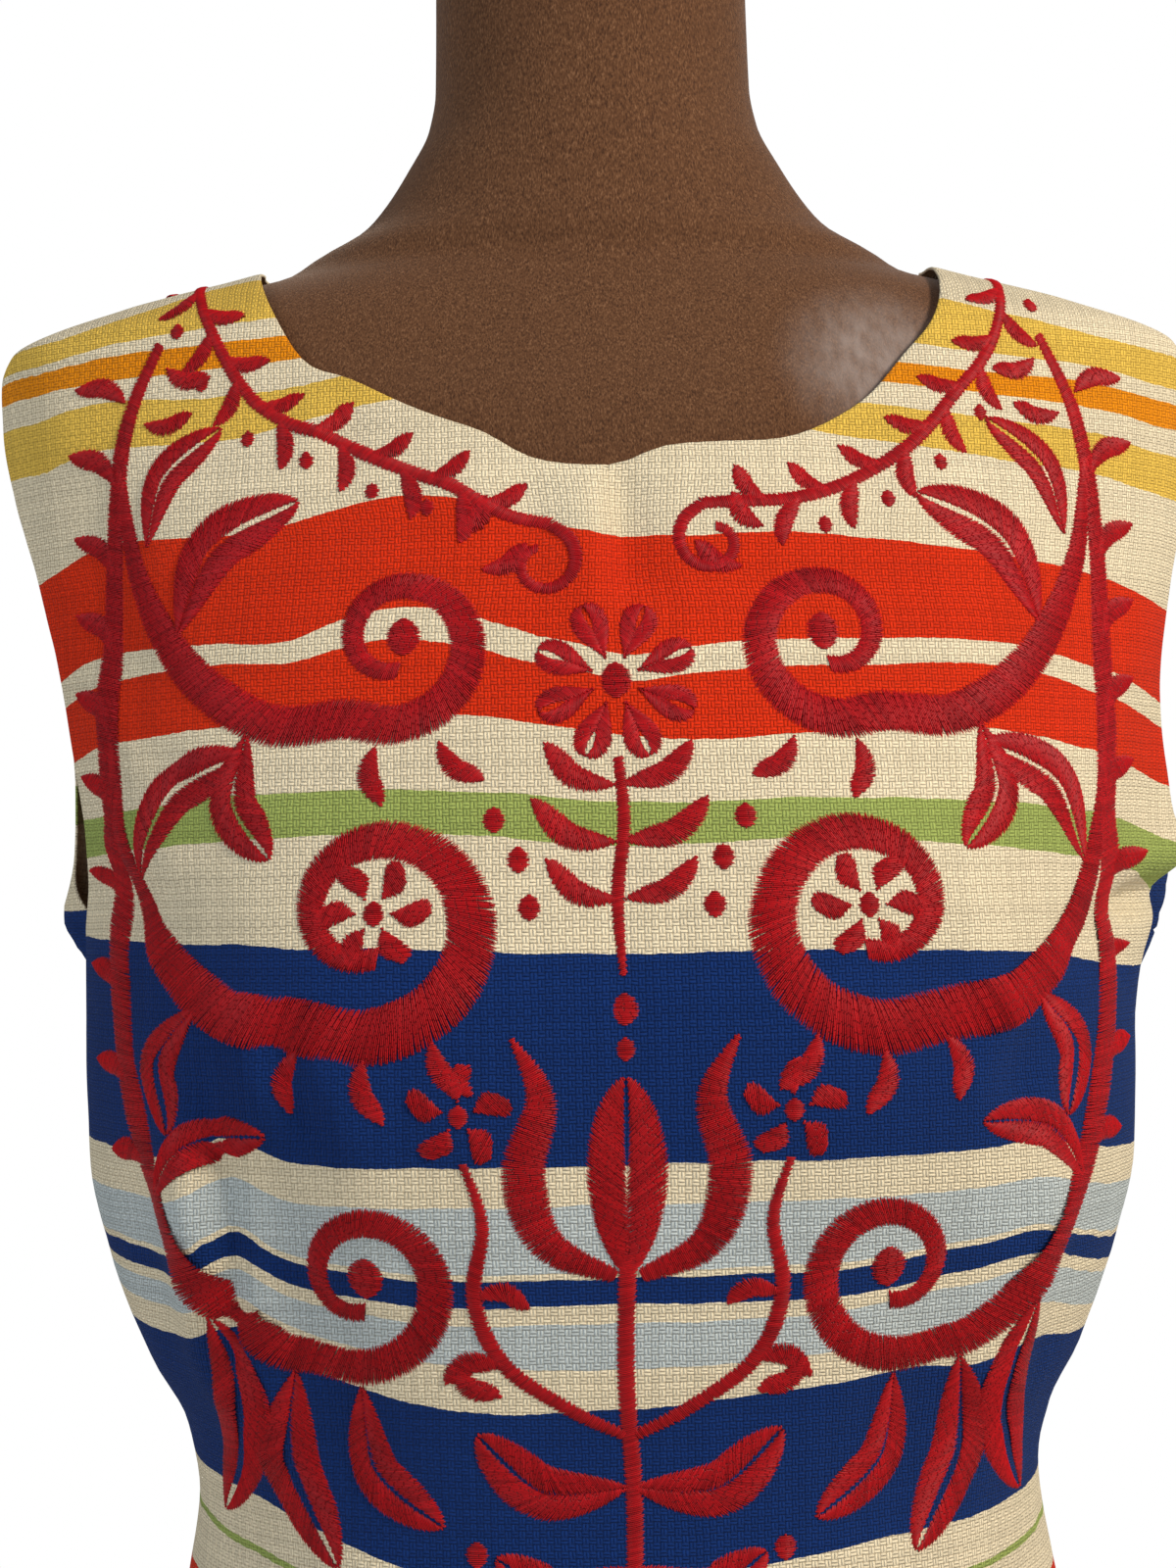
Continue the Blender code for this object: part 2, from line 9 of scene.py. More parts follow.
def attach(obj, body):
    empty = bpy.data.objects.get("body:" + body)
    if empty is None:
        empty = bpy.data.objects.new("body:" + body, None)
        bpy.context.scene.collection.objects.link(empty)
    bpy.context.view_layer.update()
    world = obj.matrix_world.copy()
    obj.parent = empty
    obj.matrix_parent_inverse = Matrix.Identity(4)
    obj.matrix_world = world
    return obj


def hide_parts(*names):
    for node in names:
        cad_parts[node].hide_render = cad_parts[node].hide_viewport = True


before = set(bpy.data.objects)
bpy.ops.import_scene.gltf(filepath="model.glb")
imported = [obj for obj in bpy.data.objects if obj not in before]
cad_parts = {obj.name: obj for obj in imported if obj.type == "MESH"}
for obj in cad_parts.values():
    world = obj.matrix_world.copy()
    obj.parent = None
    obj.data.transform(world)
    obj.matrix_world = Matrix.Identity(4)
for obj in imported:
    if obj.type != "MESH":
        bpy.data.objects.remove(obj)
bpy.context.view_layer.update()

scene = bpy.context.scene
front, back, left, right = -1, 1, -1, 1

# Camera: as the photo was taken, a little below the neck and turned slightly round the dress
photoView = {
    "distance": 0.82,
    "height": 1.1765,
    "azimuth": -1.8,
    "lookUp": 3.1,
    "roll": 1.1,
    "lens": 36.0,
    "sensor": 24.0,
    "aside": -0.01125,
}


def placeCamera(view):
    data = bpy.data.cameras.new("photoCamera")
    data.lens = view["lens"]
    data.sensor_width = view["sensor"]  # the long side of the picture
    data.shift_x = view["aside"]
    turn, up, roll = (math.radians(view[key]) for key in ("azimuth", "lookUp", "roll"))
    behind = Vector((math.sin(turn) * math.cos(up), -math.cos(turn) * math.cos(up), -math.sin(up)))
    across = Vector((math.cos(turn), math.sin(turn), 0))
    above = behind.cross(across)
    rolledAcross = across * math.cos(roll) - above * math.sin(roll)
    rolledAbove = across * math.sin(roll) + above * math.cos(roll)
    camera = bpy.data.objects.new("photoCamera", data)
    eye = Vector((math.sin(turn), -math.cos(turn), 0)) * view["distance"]
    camera.matrix_world = Matrix.Translation(eye + Vector((0, 0, view["height"]))) @ Matrix(
        (rolledAcross, rolledAbove, behind)
    ).transposed().to_4x4()
    scene.collection.objects.link(camera)
    scene.camera = camera


# Light: one big soft lamp in front on the right, a weak cool one on the left, and a pale room
studio = {
    "lamps": {
        "key": {
            "place": (1.60, -1.32, 2.25), "aim": (0.0, 0.0, 1.15), "size": 0.55, "power": 51.0,
            "colour": (1.0, 0.945, 0.86),
        },
        "fill": {
            "place": (-1.7, -1.6, 2.0), "aim": (0.0, 0.0, 1.1), "size": 1.6, "power": 24.0,
            "colour": (0.82, 0.90, 1.0),
        },
        "rear": {
            "place": (0.5, 2.2, 2.2), "aim": (0.0, 0.0, 1.1), "size": 1.6, "power": 20.0,
            "colour": (1.0, 0.98, 0.95),
        },
    },
    "roomLight": 0.30,
    "roomColour": (0.88, 0.94, 1.0),
    "backdrop": 1.0,
    "backdropColour": (1.0, 1.0, 1.0),
    "floorRadius": 2.6,
    "floorSides": 96,
    "floorColour": (0.80, 0.79, 0.77),
}


def addLamp(name, look):
    data = bpy.data.lights.new(name, "AREA")
    data.size = look["size"]
    data.energy = look["power"]
    data.color = look["colour"]
    lamp = bpy.data.objects.new(name, data)
    place = Vector(look["place"])
    lamp.location = place
    lamp.rotation_euler = (Vector(look["aim"]) - place).to_track_quat("-Z", "Y").to_euler()
    scene.collection.objects.link(lamp)


def lightRoom():
    for name, look in studio["lamps"].items():
        addLamp(name, look)
    world = bpy.data.worlds.new("paleRoom")
    scene.world = world
    world.use_nodes = True
    tree = world.node_tree
    tree.nodes.clear()
    seen = tree.nodes.new("ShaderNodeLightPath").outputs["Is Camera Ray"]
    room = studio["roomLight"]
    strength = maths(tree, "MULTIPLY_ADD", seen, studio["backdrop"] - room, room)
    colour = blendColours(tree, seen, studio["roomColour"], studio["backdropColour"])
    lit = addNode(tree, "ShaderNodeBackground", {"Color": colour, "Strength": strength})
    addNode(tree, "ShaderNodeOutputWorld", {"Surface": lit.outputs[0]})
    scene.view_settings.view_transform = "Standard"


# A socket is linked to an input, and anything else is set as its value
def setInput(tree, socket, value):
    if isinstance(value, bpy.types.NodeSocket):
        tree.links.new(value, socket)
    else:
        socket.default_value = value


def addNode(tree, kind, inputs=(), **settings):
    node = tree.nodes.new(kind)
    for name, value in settings.items():
        setattr(node, name, value)
    for key, value in dict(inputs).items():
        setInput(tree, node.inputs[key], value)
    return node


def maths(tree, operation, *values):
    return addNode(tree, "ShaderNodeMath", dict(enumerate(values)), operation=operation).outputs[0]


def vectors(tree, operation, first, second, output="Vector"):
    inputs = {0: first, 1: second}
    return addNode(tree, "ShaderNodeVectorMath", inputs, operation=operation).outputs[output]


# Colours are given as sockets or as red, green and blue
def blendColours(tree, factor, first, second, way="MIX"):
    inputs = {0: factor, 6: first, 7: second}
    for key in (6, 7):
        if not isinstance(inputs[key], bpy.types.NodeSocket):
            inputs[key] = (*inputs[key], 1)
    return addNode(tree, "ShaderNodeMix", inputs, data_type="RGBA", blend_type=way).outputs[2]


def blendValues(tree, factor, first, second):
    return addNode(tree, "ShaderNodeMix", {0: factor, 2: first, 3: second}, data_type="FLOAT").outputs[0]


def fromRange(tree, value, low, high, newLow=0.0, newHigh=1.0, smooth=False):
    inputs = {"Value": value, "From Min": low, "From Max": high, "To Min": newLow, "To Max": newHigh}
    kind = "SMOOTHSTEP" if smooth else "LINEAR"
    return addNode(tree, "ShaderNodeMapRange", inputs, interpolation_type=kind).outputs["Result"]


def noiseOn(tree, place, scale, detail=2.0, roughness=0.5):
    inputs = {"Vector": place, "Scale": scale, "Detail": detail, "Roughness": roughness}
    return addNode(tree, "ShaderNodeTexNoise", inputs).outputs


# Half a wave, from 0 up to 1 and back while the value goes from 0 to 1
def halfWave(tree, value):
    return maths(tree, "SINE", maths(tree, "MULTIPLY", value, math.pi))


# Inputs are (name, kind of socket, default), and outputs are (name, kind of socket)
def newGroup(name, treeKind, inputs, outputs):
    group = bpy.data.node_groups.new(name, treeKind)
    for title, kind, default in inputs:
        socket = group.interface.new_socket(title, in_out="INPUT", socket_type="NodeSocket" + kind)
        if default is not None:
            socket.default_value = default
    for title, kind in outputs:
        group.interface.new_socket(title, in_out="OUTPUT", socket_type="NodeSocket" + kind)
    return group, group.nodes.new("NodeGroupInput").outputs


def putOut(group, values):
    addNode(group, "NodeGroupOutput", values)
    return group


# Basket weave: two yarns run over two, and which pair lies on top changes from cell to cell
weaveShape = {
    "driftScale": 0.16,
    "yarnRoundness": 0.7,
    "floatRoundness": 0.6,
    "floatRise": 0.62,
    "gapHeights": (0.02, 0.50),
    "paintedGapDepth": 0.55,
    "crossingHeights": (0.12, 0.62),
}


def buildBasketWeave():
    group, given = newGroup(
        "basketWeave",
        "ShaderNodeTree",
        [("Place", "Vector", None), ("Cell size", "Float", 0.002), ("Wander", "Float", 0.5)],
        [("Height", "Float"), ("Gap", "Float"), ("Yarn", "Float")],
    )
    cell = given["Cell size"]
    size = addNode(group, "ShaderNodeCombineXYZ", {"X": cell, "Y": cell, "Z": 1.0}).outputs[0]
    scaled = vectors(group, "DIVIDE", given["Place"], size)
    drift = noiseOn(group, scaled, weaveShape["driftScale"])["Color"]
    push = {0: vectors(group, "SUBTRACT", drift, (0.5, 0.5, 0.5)), "Scale": given["Wander"]}
    pushed = addNode(group, "ShaderNodeVectorMath", push, operation="SCALE").outputs[0]
    parts = addNode(group, "ShaderNodeSeparateXYZ", {0: vectors(group, "ADD", scaled, pushed)}).outputs
    columnOf, rowOf = (maths(group, "FLOOR", parts[axis]) for axis in (0, 1))
    inColumn, inRow = (maths(group, "FRACT", parts[axis]) for axis in (0, 1))
    weftOver = maths(group, "FLOORED_MODULO", maths(group, "ADD", columnOf, rowOf), 2.0)
    across = blendValues(group, weftOver, inColumn, inRow)
    along = blendValues(group, weftOver, inRow, inColumn)
    inYarn = maths(group, "FRACT", maths(group, "MULTIPLY", across, 2.0))
    roundYarn = maths(group, "POWER", halfWave(group, inYarn), weaveShape["yarnRoundness"])
    rise = maths(group, "POWER", halfWave(group, along), weaveShape["floatRoundness"])
    risen = maths(group, "MULTIPLY_ADD", rise, weaveShape["floatRise"], 1 - weaveShape["floatRise"])
    height = maths(group, "MULTIPLY", roundYarn, risen)
    dips = (maths(group, "SUBTRACT", 1.0, halfWave(group, part)) for part in (inColumn, inRow))
    crossing = maths(group, "MULTIPLY", *dips)
    # the weave's gap output is a mask for painted shade: the gaps between yarns and the holes where they
    # cross, which the cloth's colour is darkened in
    gapHeights, paintedGapDepth = weaveShape["gapHeights"], weaveShape["paintedGapDepth"]
    betweenYarns = fromRange(group, height, *gapHeights, paintedGapDepth, 0.0, smooth=True)
    atCrossing = fromRange(group, crossing, *weaveShape["crossingHeights"], smooth=True)
    warpYarn, weftYarn = (
        maths(group, "FLOOR", maths(group, "MULTIPLY", parts[axis], 2.0)) for axis in (0, 1)
    )
    yarnX = blendValues(group, weftOver, warpYarn, 0.37)  # any place will do across a yarn
    yarnY = blendValues(group, weftOver, 0.61, weftYarn)
    yarnPlace = addNode(group, "ShaderNodeCombineXYZ", {"X": yarnX, "Y": yarnY}).outputs[0]
    yarn = addNode(group, "ShaderNodeTexWhiteNoise", {0: yarnPlace}, noise_dimensions="3D")
    gap = maths(group, "MAXIMUM", betweenYarns, atCrossing)
    return putOut(group, {"Height": height, "Gap": gap, "Yarn": yarn.outputs["Value"]})


# Slow and fine changes of tone, as dye and light wear leave on cloth
def buildUneven():
    group, given = newGroup(
        "unevenTone",
        "ShaderNodeTree",
        [
            ("Place", "Vector", None),
            ("Slow scale", "Float", 14.0),
            ("Fine scale", "Float", 900.0),
            ("Depth", "Float", 0.12),
        ],
        [("Tone", "Float"), ("Fine", "Float")],
    )
    slow = noiseOn(group, given["Place"], given["Slow scale"], 3.0)["Fac"]
    fine = noiseOn(group, given["Place"], given["Fine scale"])["Fac"]
    both = maths(group, "MULTIPLY_ADD", fine, 0.4, maths(group, "MULTIPLY", slow, 0.6))
    centred = maths(group, "SUBTRACT", both, 0.5)
    tone = maths(group, "MULTIPLY_ADD", centred, maths(group, "MULTIPLY", given["Depth"], 3.0), 1.0)
    return putOut(group, {"Tone": tone, "Fine": fine})


printColours = {
    "cream": (0.840, 0.705, 0.480),
    "yellow": (0.800, 0.505, 0.080),
    "orange": (0.820, 0.260, 0.004),
    "red": (0.700, 0.030, 0.004),
    "green": (0.345, 0.415, 0.105),
    "royal": (0.006, 0.029, 0.140),
    "pale": (0.540, 0.580, 0.560),
}
# The printed stripes: their upper and lower edges in millimetres above the floor, at stations across
# the front. The middle one also gives the stripe's place in the print.
stripeStations = (-190, -165, -120, -60, 0, 60, 120, 165, 190)
frontStripes = [
    ("yellow", (1370, 1375, 1388, 1395, 1395, 1388, 1374, 1366, 1362),
     (1364, 1368, 1371, 1376, 1372, 1366, 1358, 1356, 1352)),
    ("orange", (1361, 1363, 1364, 1368, 1364, 1356, 1350, 1349, 1346),
     (1352, 1353, 1354, 1359, 1356, 1348, 1342, 1339, 1336)),
    ("yellow", (1342, 1346, 1343, 1350, 1348, 1340, 1333, 1330, 1326),
     (1323, 1328, 1328, 1338, 1336, 1327, 1319, 1315, 1311)),
    ("red", (1287, 1297, 1296, 1299, 1291, 1292, 1287, 1281, 1274),
     (1248, 1259, 1260, 1262, 1255, 1257, 1257, 1249, 1241)),
    ("red", (1240, 1250, 1255, 1254, 1248, 1249, 1250, 1241, 1233),
     (1222, 1231, 1235, 1235, 1231, 1229, 1230, 1222, 1214)),
    ("green", (1207, 1209, 1213, 1213, 1209, 1209, 1207, 1203, 1195),
     (1194, 1196, 1198, 1199, 1194, 1196, 1192, 1187, 1178)),
    ("royal", (1171, 1170, 1167, 1165, 1163, 1163, 1161, 1158, 1156),
     (1104, 1104, 1103, 1101, 1101, 1101, 1101, 1096, 1094)),
    ("pale", (1091, 1091, 1091, 1090, 1090, 1090, 1090, 1085, 1083),
     (1078, 1078, 1077, 1071, 1071, 1072, 1076, 1070, 1068)),
    ("royal", (1075, 1075, 1074, 1069, 1069, 1069, 1074, 1067, 1065),
     (1069, 1069, 1067, 1060, 1060, 1060, 1066, 1058, 1056)),
    ("pale", (1066, 1066, 1064, 1056, 1055, 1057, 1063, 1055, 1053),
     (1058, 1058, 1055, 1043, 1040, 1043, 1050, 1042, 1040)),
    ("royal", (1047, 1047, 1046, 1028, 1028, 1033, 1038, 1035, 1034),
     (1003, 1003, 996, 978, 975, 982, 986, 990, 991)),
    ("green", (990, 990, 981, 966, 962, 966, 972, 978, 979),
     (988, 988, 979, 964, 960, 964, 970, 976, 977)),
]
skirtStripes = [
    ("red", 948, 914),
    ("orange", 901, 888),
    ("yellow", 874, 856),
    ("green", 840, 828),
    ("royal", 800, 744),
    ("pale", 731, 716),
    ("royal", 711, 703),
    ("pale", 699, 684),
    ("red", 662, 630),
    ("red", 622, 602),
    ("yellow", 578, 560),
    ("orange", 546, 533),
    ("green", 520, 518),
    ("royal", 498, 453),
]
printEnds = (0.40, 0.955, 1.46)  # below the skirt's stripes, between them and the front's, and above
# Where the cloth is drawn up or down in soft folds, the stripes go with it:
# x, height, half width, half height, and how far they move up.
PullUp = namedtuple("PullUp", "x height halfWidth halfHeight move")
stripePulls = [
    PullUp(-0.118, 1.085, 0.0085, 0.042, 0.0075),
    PullUp(-0.145, 1.060, 0.0120, 0.030, -0.0030),
    PullUp(-0.060, 1.290, 0.0230, 0.030, 0.0085),
    PullUp(0.004, 1.252, 0.0090, 0.010, -0.0030),
    PullUp(-0.102, 1.258, 0.0100, 0.010, -0.0030),
    PullUp(0.020, 1.228, 0.0200, 0.012, -0.0030),
    PullUp(0.128, 1.080, 0.0110, 0.040, 0.0035),
    PullUp(0.106, 1.030, 0.0100, 0.020, -0.0030),
    PullUp(0.165, 1.165, 0.0150, 0.012, -0.0040),
]
# The print on the two halves of the back: height on the cloth, then place in the print
backPrints = {
    left: [(1.412, 1.400), (1.184, 1.169), (1.120, 1.103), (1.000, 0.949), (0.965, 0.913), (0.440, 0.448)],
    right: [(1.420, 1.392), (1.206, 1.166), (1.141, 1.102), (0.994, 0.902), (0.968, 0.887), (0.440, 0.440)],
}


# Straight lines through (from, to) pairs, highest first
def betweenKnots(knots, value):
    for (highFrom, highTo), (lowFrom, lowTo) in zip(knots, knots[1:]):
        if value >= lowFrom:
            break
    return lowTo + (highTo - lowTo) * (value - lowFrom) / (highFrom - lowFrom)


# A smooth curve through the values at the stations, in metres
def acrossStations(values, x):
    for index in range(len(stripeStations) - 1):
        low, high = stripeStations[index] / 1000, stripeStations[index + 1] / 1000
        if x <= high or index == len(stripeStations) - 2:
            place = index + min(1.0, max(0.0, (x - low) / (high - low)))
            break
    index = min(len(values) - 2, int(place))
    t = place - index
    a, b = values[max(0, index - 1)], values[index]
    c, d = values[index + 1], values[min(len(values) - 1, index + 2)]
    curve = b + 0.5 * t * (c - a + t * (2 * a - 5 * b + 4 * c - d + t * (3 * (b - c) + d - a)))
    return curve / 1000


def pullAt(x, height):
    moved = 0.0
    for pull in stripePulls:
        away = ((x - pull.x) / pull.halfWidth) ** 2 + ((height - pull.height) / pull.halfHeight) ** 2
        if away < 18:
            moved += pull.move * math.exp(-0.5 * away)
    return moved


def frontPrintKnots(x):
    middle = len(stripeStations) // 2
    knots = [(printEnds[2], printEnds[2])]
    for _, top, bottom in frontStripes:
        knots.append((acrossStations(top, x), top[middle] / 1000))
        knots.append((acrossStations(bottom, x), bottom[middle] / 1000))
    return knots + [(0.930, 0.926), (printEnds[0], printEnds[0])]


def slowWave(x, height, seed):
    return 0.0035 * noise.noise(Vector((x * 9 + seed, height * 6, seed * 1.7)))


# The place in the print of a place on the dress
def printPlace(side, face, x, height, knots):
    if face == front:
        lower = 1 - smoothStep((height - 0.90) / 0.08)
        return betweenKnots(knots, height - pullAt(x, height)) + lower * slowWave(x, height, 3.1)
    return betweenKnots(backPrints[side], height) + slowWave(x, height, 7.7 + side)


def buildStripePrint():
    group, given = newGroup(
        "stripePrint", "ShaderNodeTree", [("Place in print", "Float", 1.0)], [("Colour", "Color")]
    )
    middle = len(stripeStations) // 2
    upper = [(colour, top[middle], bottom[middle]) for colour, top, bottom in frontStripes]
    bottomEnd, split, topEnd = printEnds
    found = []
    for stripes, low, high in ((skirtStripes, bottomEnd, split), (upper, split, topEnd)):
        node = addNode(group, "ShaderNodeValToRGB", {0: fromRange(group, given[0], low, high)})
        ramp = node.color_ramp
        ramp.interpolation = "CONSTANT"
        ramp.elements[0].position = 0.0
        ramp.elements[0].color = (*printColours["cream"], 1)
        ramp.elements.remove(ramp.elements[1])
        for colour, top, bottom in sorted(stripes, key=lambda stripe: stripe[2]):
            for edge, name in ((bottom, colour), (top, "cream")):
                element = ramp.elements.new((edge / 1000 - low) / (high - low))
                element.color = (*printColours[name], 1)
        found.append(node.outputs["Color"])
    isUpper = maths(group, "GREATER_THAN", given[0], split)
    return putOut(group, {"Colour": blendColours(group, isUpper, *found)})


placeCamera(photoView)
lightRoom()
groups = {"weave": buildBasketWeave(), "uneven": buildUneven(), "stripes": buildStripePrint()}
print("camera, light and shared node groups are in place")

# How the materials look. Heights of relief are in metres, and scales are of noise per metre.
clothLook = {
    "cell": 0.0021,
    "wander": 0.55,
    "bump": 0.00058,
    "fuzz": 0.22,
    "roughness": (0.80, 0.95),
    "specular": 0.07,
    "sheen": 0.03,
    "yarnTones": (0.88, 1.08),
    # painted shade between the yarns: how dark it is, its warm tint, and how strongly it is laid on
    "paintedGapShade": 0.50,
    "paintedGapTint": (1.0, 0.90, 0.78),
    "paintedGapDepth": 0.60,
    "printWobbles": [(420.0, 3.0, 0.0009), (45.0, 2.0, 0.0022)],  # scale, detail and depth
    "fade": 0.0,
}
finishes = {
    "dressCloth": clothLook,
    "dressClothWrongSide": {**clothLook, "bump": 0.00030, "sheen": 0.08, "paintedGapShade": 0.55, "fade": 0.45},
    "embroideryThread": {
        "dark": (0.075, 0.001, 0.003),
        "light": (0.690, 0.007, 0.011),
        "roughness": 0.46,
        "gloss": 0.16,
        "pinStep": 0.0034,
        "fineScale": 2600.0,
    },
    "sewingThread": {
        "dark": (0.38, 0.31, 0.20),
        "light": (0.86, 0.77, 0.58),
        "roughness": 0.55,
        "gloss": 0.2,
        "pinStep": 0.01,
        "fineScale": 3000.0,
    },
    "zipNylon": {
        "dark": (0.34, 0.28, 0.19),
        "light": (0.92, 0.83, 0.64),
        "roughness": 0.42,
        "gloss": 0.5,
        "pinStep": 0.01,
        "fineScale": 2500.0,
    },
    "formCloth": {
        "dark": (0.050, 0.019, 0.008),
        "mid": (0.112, 0.046, 0.019),
        "light": (0.225, 0.108, 0.052),
        "grain": 2100.0,
        "grainLeans": (0.62, -0.75),
        "sheen": 0.22,
        "sheenTint": (1.0, 0.80, 0.66, 1),
        "specular": 0.12,
        "bump": 0.00022,
        # the pale patch by the neckline: brushed nap with painted sheen; its colour, centre and reach
        "napAndSheen": (0.34, 0.27, 0.235),
        "napAndSheenPlace": (0.0905, -0.0635, 1.3535),
        "napAndSheenReach": 0.040,
    },
    "turnedWood": {
        "dark": (0.205, 0.092, 0.039),
        "light": (0.310, 0.152, 0.067),
        "rings": 38.0,
        "varnish": 0.35,
        "roughness": (0.42, 0.30),
        "bump": 0.00008,
    },
    # colour, least and greatest roughness, scale of the fine noise, depth of relief, and metallic
    "zipTape": ((0.40, 0.33, 0.22), (0.7, 0.9), 1500.0, 0.00008, 0.0),
    "zipMetal": ((0.60, 0.59, 0.56), (0.22, 0.42), 900.0, 0.00004, 1.0),
    "blackMetal": ((0.018, 0.018, 0.020), (0.34, 0.52), 1400.0, 0.00006, 0.6),
    "paleFloor": (studio["floorColour"], (0.7, 0.85), 12.0, 0.00004, 0.0),
}
# Where a needle pins down a long stitch, its thread is nipped, with painted shade in the dip. Each strand
# also has a painted highlight along its ridge and painted shade down its sides
threadShape = {
    "nipped": (0.78, 1.0),
    "longReach": (0.0028, 0.0038),
    "nipPaintedShade": 0.65,
    "sideShadeToRidgeHighlight": (0.10, 1.0),
    "ridgeFullHighlight": 0.85,
    "relief": 0.00018,
}


def newMaterial(name, **inputs):
    material = bpy.data.materials.new(name)
    material.use_nodes = True
    tree = material.node_tree
    shader = tree.nodes["Principled BSDF"]
    for title, value in inputs.items():
        shader.inputs[title.replace("_", " ")].default_value = value
    return material, tree, shader


def finishMaterial(tree, shader, colour, rough, relief, depth):
    bump = addNode(tree, "ShaderNodeBump", {"Height": relief, "Distance": depth, "Strength": 1.0})
    tree.links.new(colour, shader.inputs["Base Color"])
    tree.links.new(rough, shader.inputs["Roughness"])
    tree.links.new(bump.outputs["Normal"], shader.inputs["Normal"])


def useGroup(tree, name, **inputs):
    node = tree.nodes.new("ShaderNodeGroup")
    node.node_tree = groups[name]
    for title, value in inputs.items():
        setInput(tree, node.inputs[title.replace("_", " ")], value)
    return node.outputs


def objectPlace(tree):
    return tree.nodes.new("ShaderNodeTexCoord").outputs["Object"]


# The place for a grain that leans over and runs long
def leaning(tree, place, lean, squash):
    inputs = {"Vector": place, "Rotation": (0, lean, 0), "Scale": (1, 1, squash)}
    return addNode(tree, "ShaderNodeMapping", inputs).outputs[0]


def attribute(tree, name):
    return addNode(tree, "ShaderNodeAttribute", attribute_name=name).outputs["Fac"]


def toned(tree, colour, tone):
    grey = addNode(tree, "ShaderNodeCombineColor", {0: tone, 1: tone, 2: tone}).outputs[0]
    return blendColours(tree, 1.0, colour, grey, "MULTIPLY")


def dressClothMaterial(name):
    look = finishes[name]
    material, tree, shader = newMaterial(
        name, Sheen_Weight=look["sheen"], Specular_IOR_Level=look["specular"]
    )
    place = addNode(tree, "ShaderNodeUVMap", uv_map="clothPlace").outputs["UV"]
    weave = useGroup(tree, "weave", Place=place, Cell_size=look["cell"], Wander=look["wander"])
    uneven = useGroup(tree, "uneven", Place=place, Slow_scale=16.0, Fine_scale=1500.0, Depth=0.10)
    printed = attribute(tree, "printPlace")
    for scale, detail, depth in look["printWobbles"]:
        wobble = maths(tree, "SUBTRACT", noiseOn(tree, place, scale, detail)["Fac"], 0.5)
        printed = maths(tree, "MULTIPLY_ADD", wobble, depth, printed)
    colour = useGroup(tree, "stripes", Place_in_print=printed)["Colour"]
    if look["fade"]:
        colour = blendColours(tree, look["fade"], colour, printColours["cream"])
    yarnTone = fromRange(tree, weave["Yarn"], 0.0, 1.0, *look["yarnTones"])
    colour = toned(tree, colour, maths(tree, "MULTIPLY", yarnTone, uneven["Tone"]))
    # painted shade in the gaps between the yarns
    paintedGapColour = tuple(look["paintedGapShade"] * part for part in look["paintedGapTint"])
    gapShaded = blendColours(tree, 1.0, colour, paintedGapColour, "MULTIPLY")
    colour = blendColours(tree, maths(tree, "MULTIPLY", weave["Gap"], look["paintedGapDepth"]), colour, gapShaded)
    rough = fromRange(tree, uneven["Fine"], 0.3, 0.7, *look["roughness"])
    relief = maths(tree, "MULTIPLY_ADD", uneven["Fine"], look["fuzz"], weave["Height"])
    finishMaterial(tree, shader, colour, rough, relief, look["bump"])
    return material


# Thread with a painted highlight along its ridge and painted shade down its sides, nipped where the needle
# pins down a long stitch, with painted shade there
def threadMaterial(name):
    look = finishes[name]
    material, tree, shader = newMaterial(name, Specular_IOR_Level=look["gloss"])
    tint, ridge, along, reach = (
        attribute(tree, title) for title in ("threadTint", "ridge", "alongStitch", "stitchReach")
    )
    uneven = useGroup(
        tree, "uneven", Place=objectPlace(tree), Slow_scale=60.0, Fine_scale=look["fineScale"], Depth=0.16
    )
    pins = maths(tree, "DIVIDE", maths(tree, "MULTIPLY", along, reach), look["pinStep"])
    pins = maths(tree, "FRACT", maths(tree, "MULTIPLY_ADD", tint, 9.0, maths(tree, "ADD", pins, 20.0)))
    pins = maths(tree, "MULTIPLY", maths(tree, "ABSOLUTE", maths(tree, "SUBTRACT", pins, 0.5)), 2.0)
    # painted shade at each pin, where the thread dips into the cloth
    atPin = fromRange(tree, pins, *threadShape["nipped"], smooth=True)
    isLong = fromRange(tree, reach, *threadShape["longReach"], smooth=True)
    nipped = maths(tree, "MULTIPLY", atPin, isLong)
    # painted highlight along each strand's ridge, and painted shade down its sides
    lit = fromRange(tree, ridge, 0.0, threadShape["ridgeFullHighlight"], *threadShape["sideShadeToRidgeHighlight"])
    lit = maths(tree, "MULTIPLY", tint, lit)
    lit = maths(tree, "MULTIPLY", lit, maths(tree, "MULTIPLY_ADD", nipped, -threadShape["nipPaintedShade"], 1.0))
    lit = maths(tree, "MULTIPLY_ADD", maths(tree, "SUBTRACT", uneven["Tone"], 1.0), 0.8, lit)
    colour = blendColours(tree, lit, look["dark"], look["light"])
    rough = fromRange(tree, uneven["Fine"], 0.3, 0.7, look["roughness"] - 0.06, look["roughness"] + 0.10)
    relief = maths(tree, "MULTIPLY_ADD", uneven["Fine"], 0.25, maths(tree, "SUBTRACT", 1.0, nipped))
    finishMaterial(tree, shader, colour, rough, relief, threadShape["relief"])
    return material
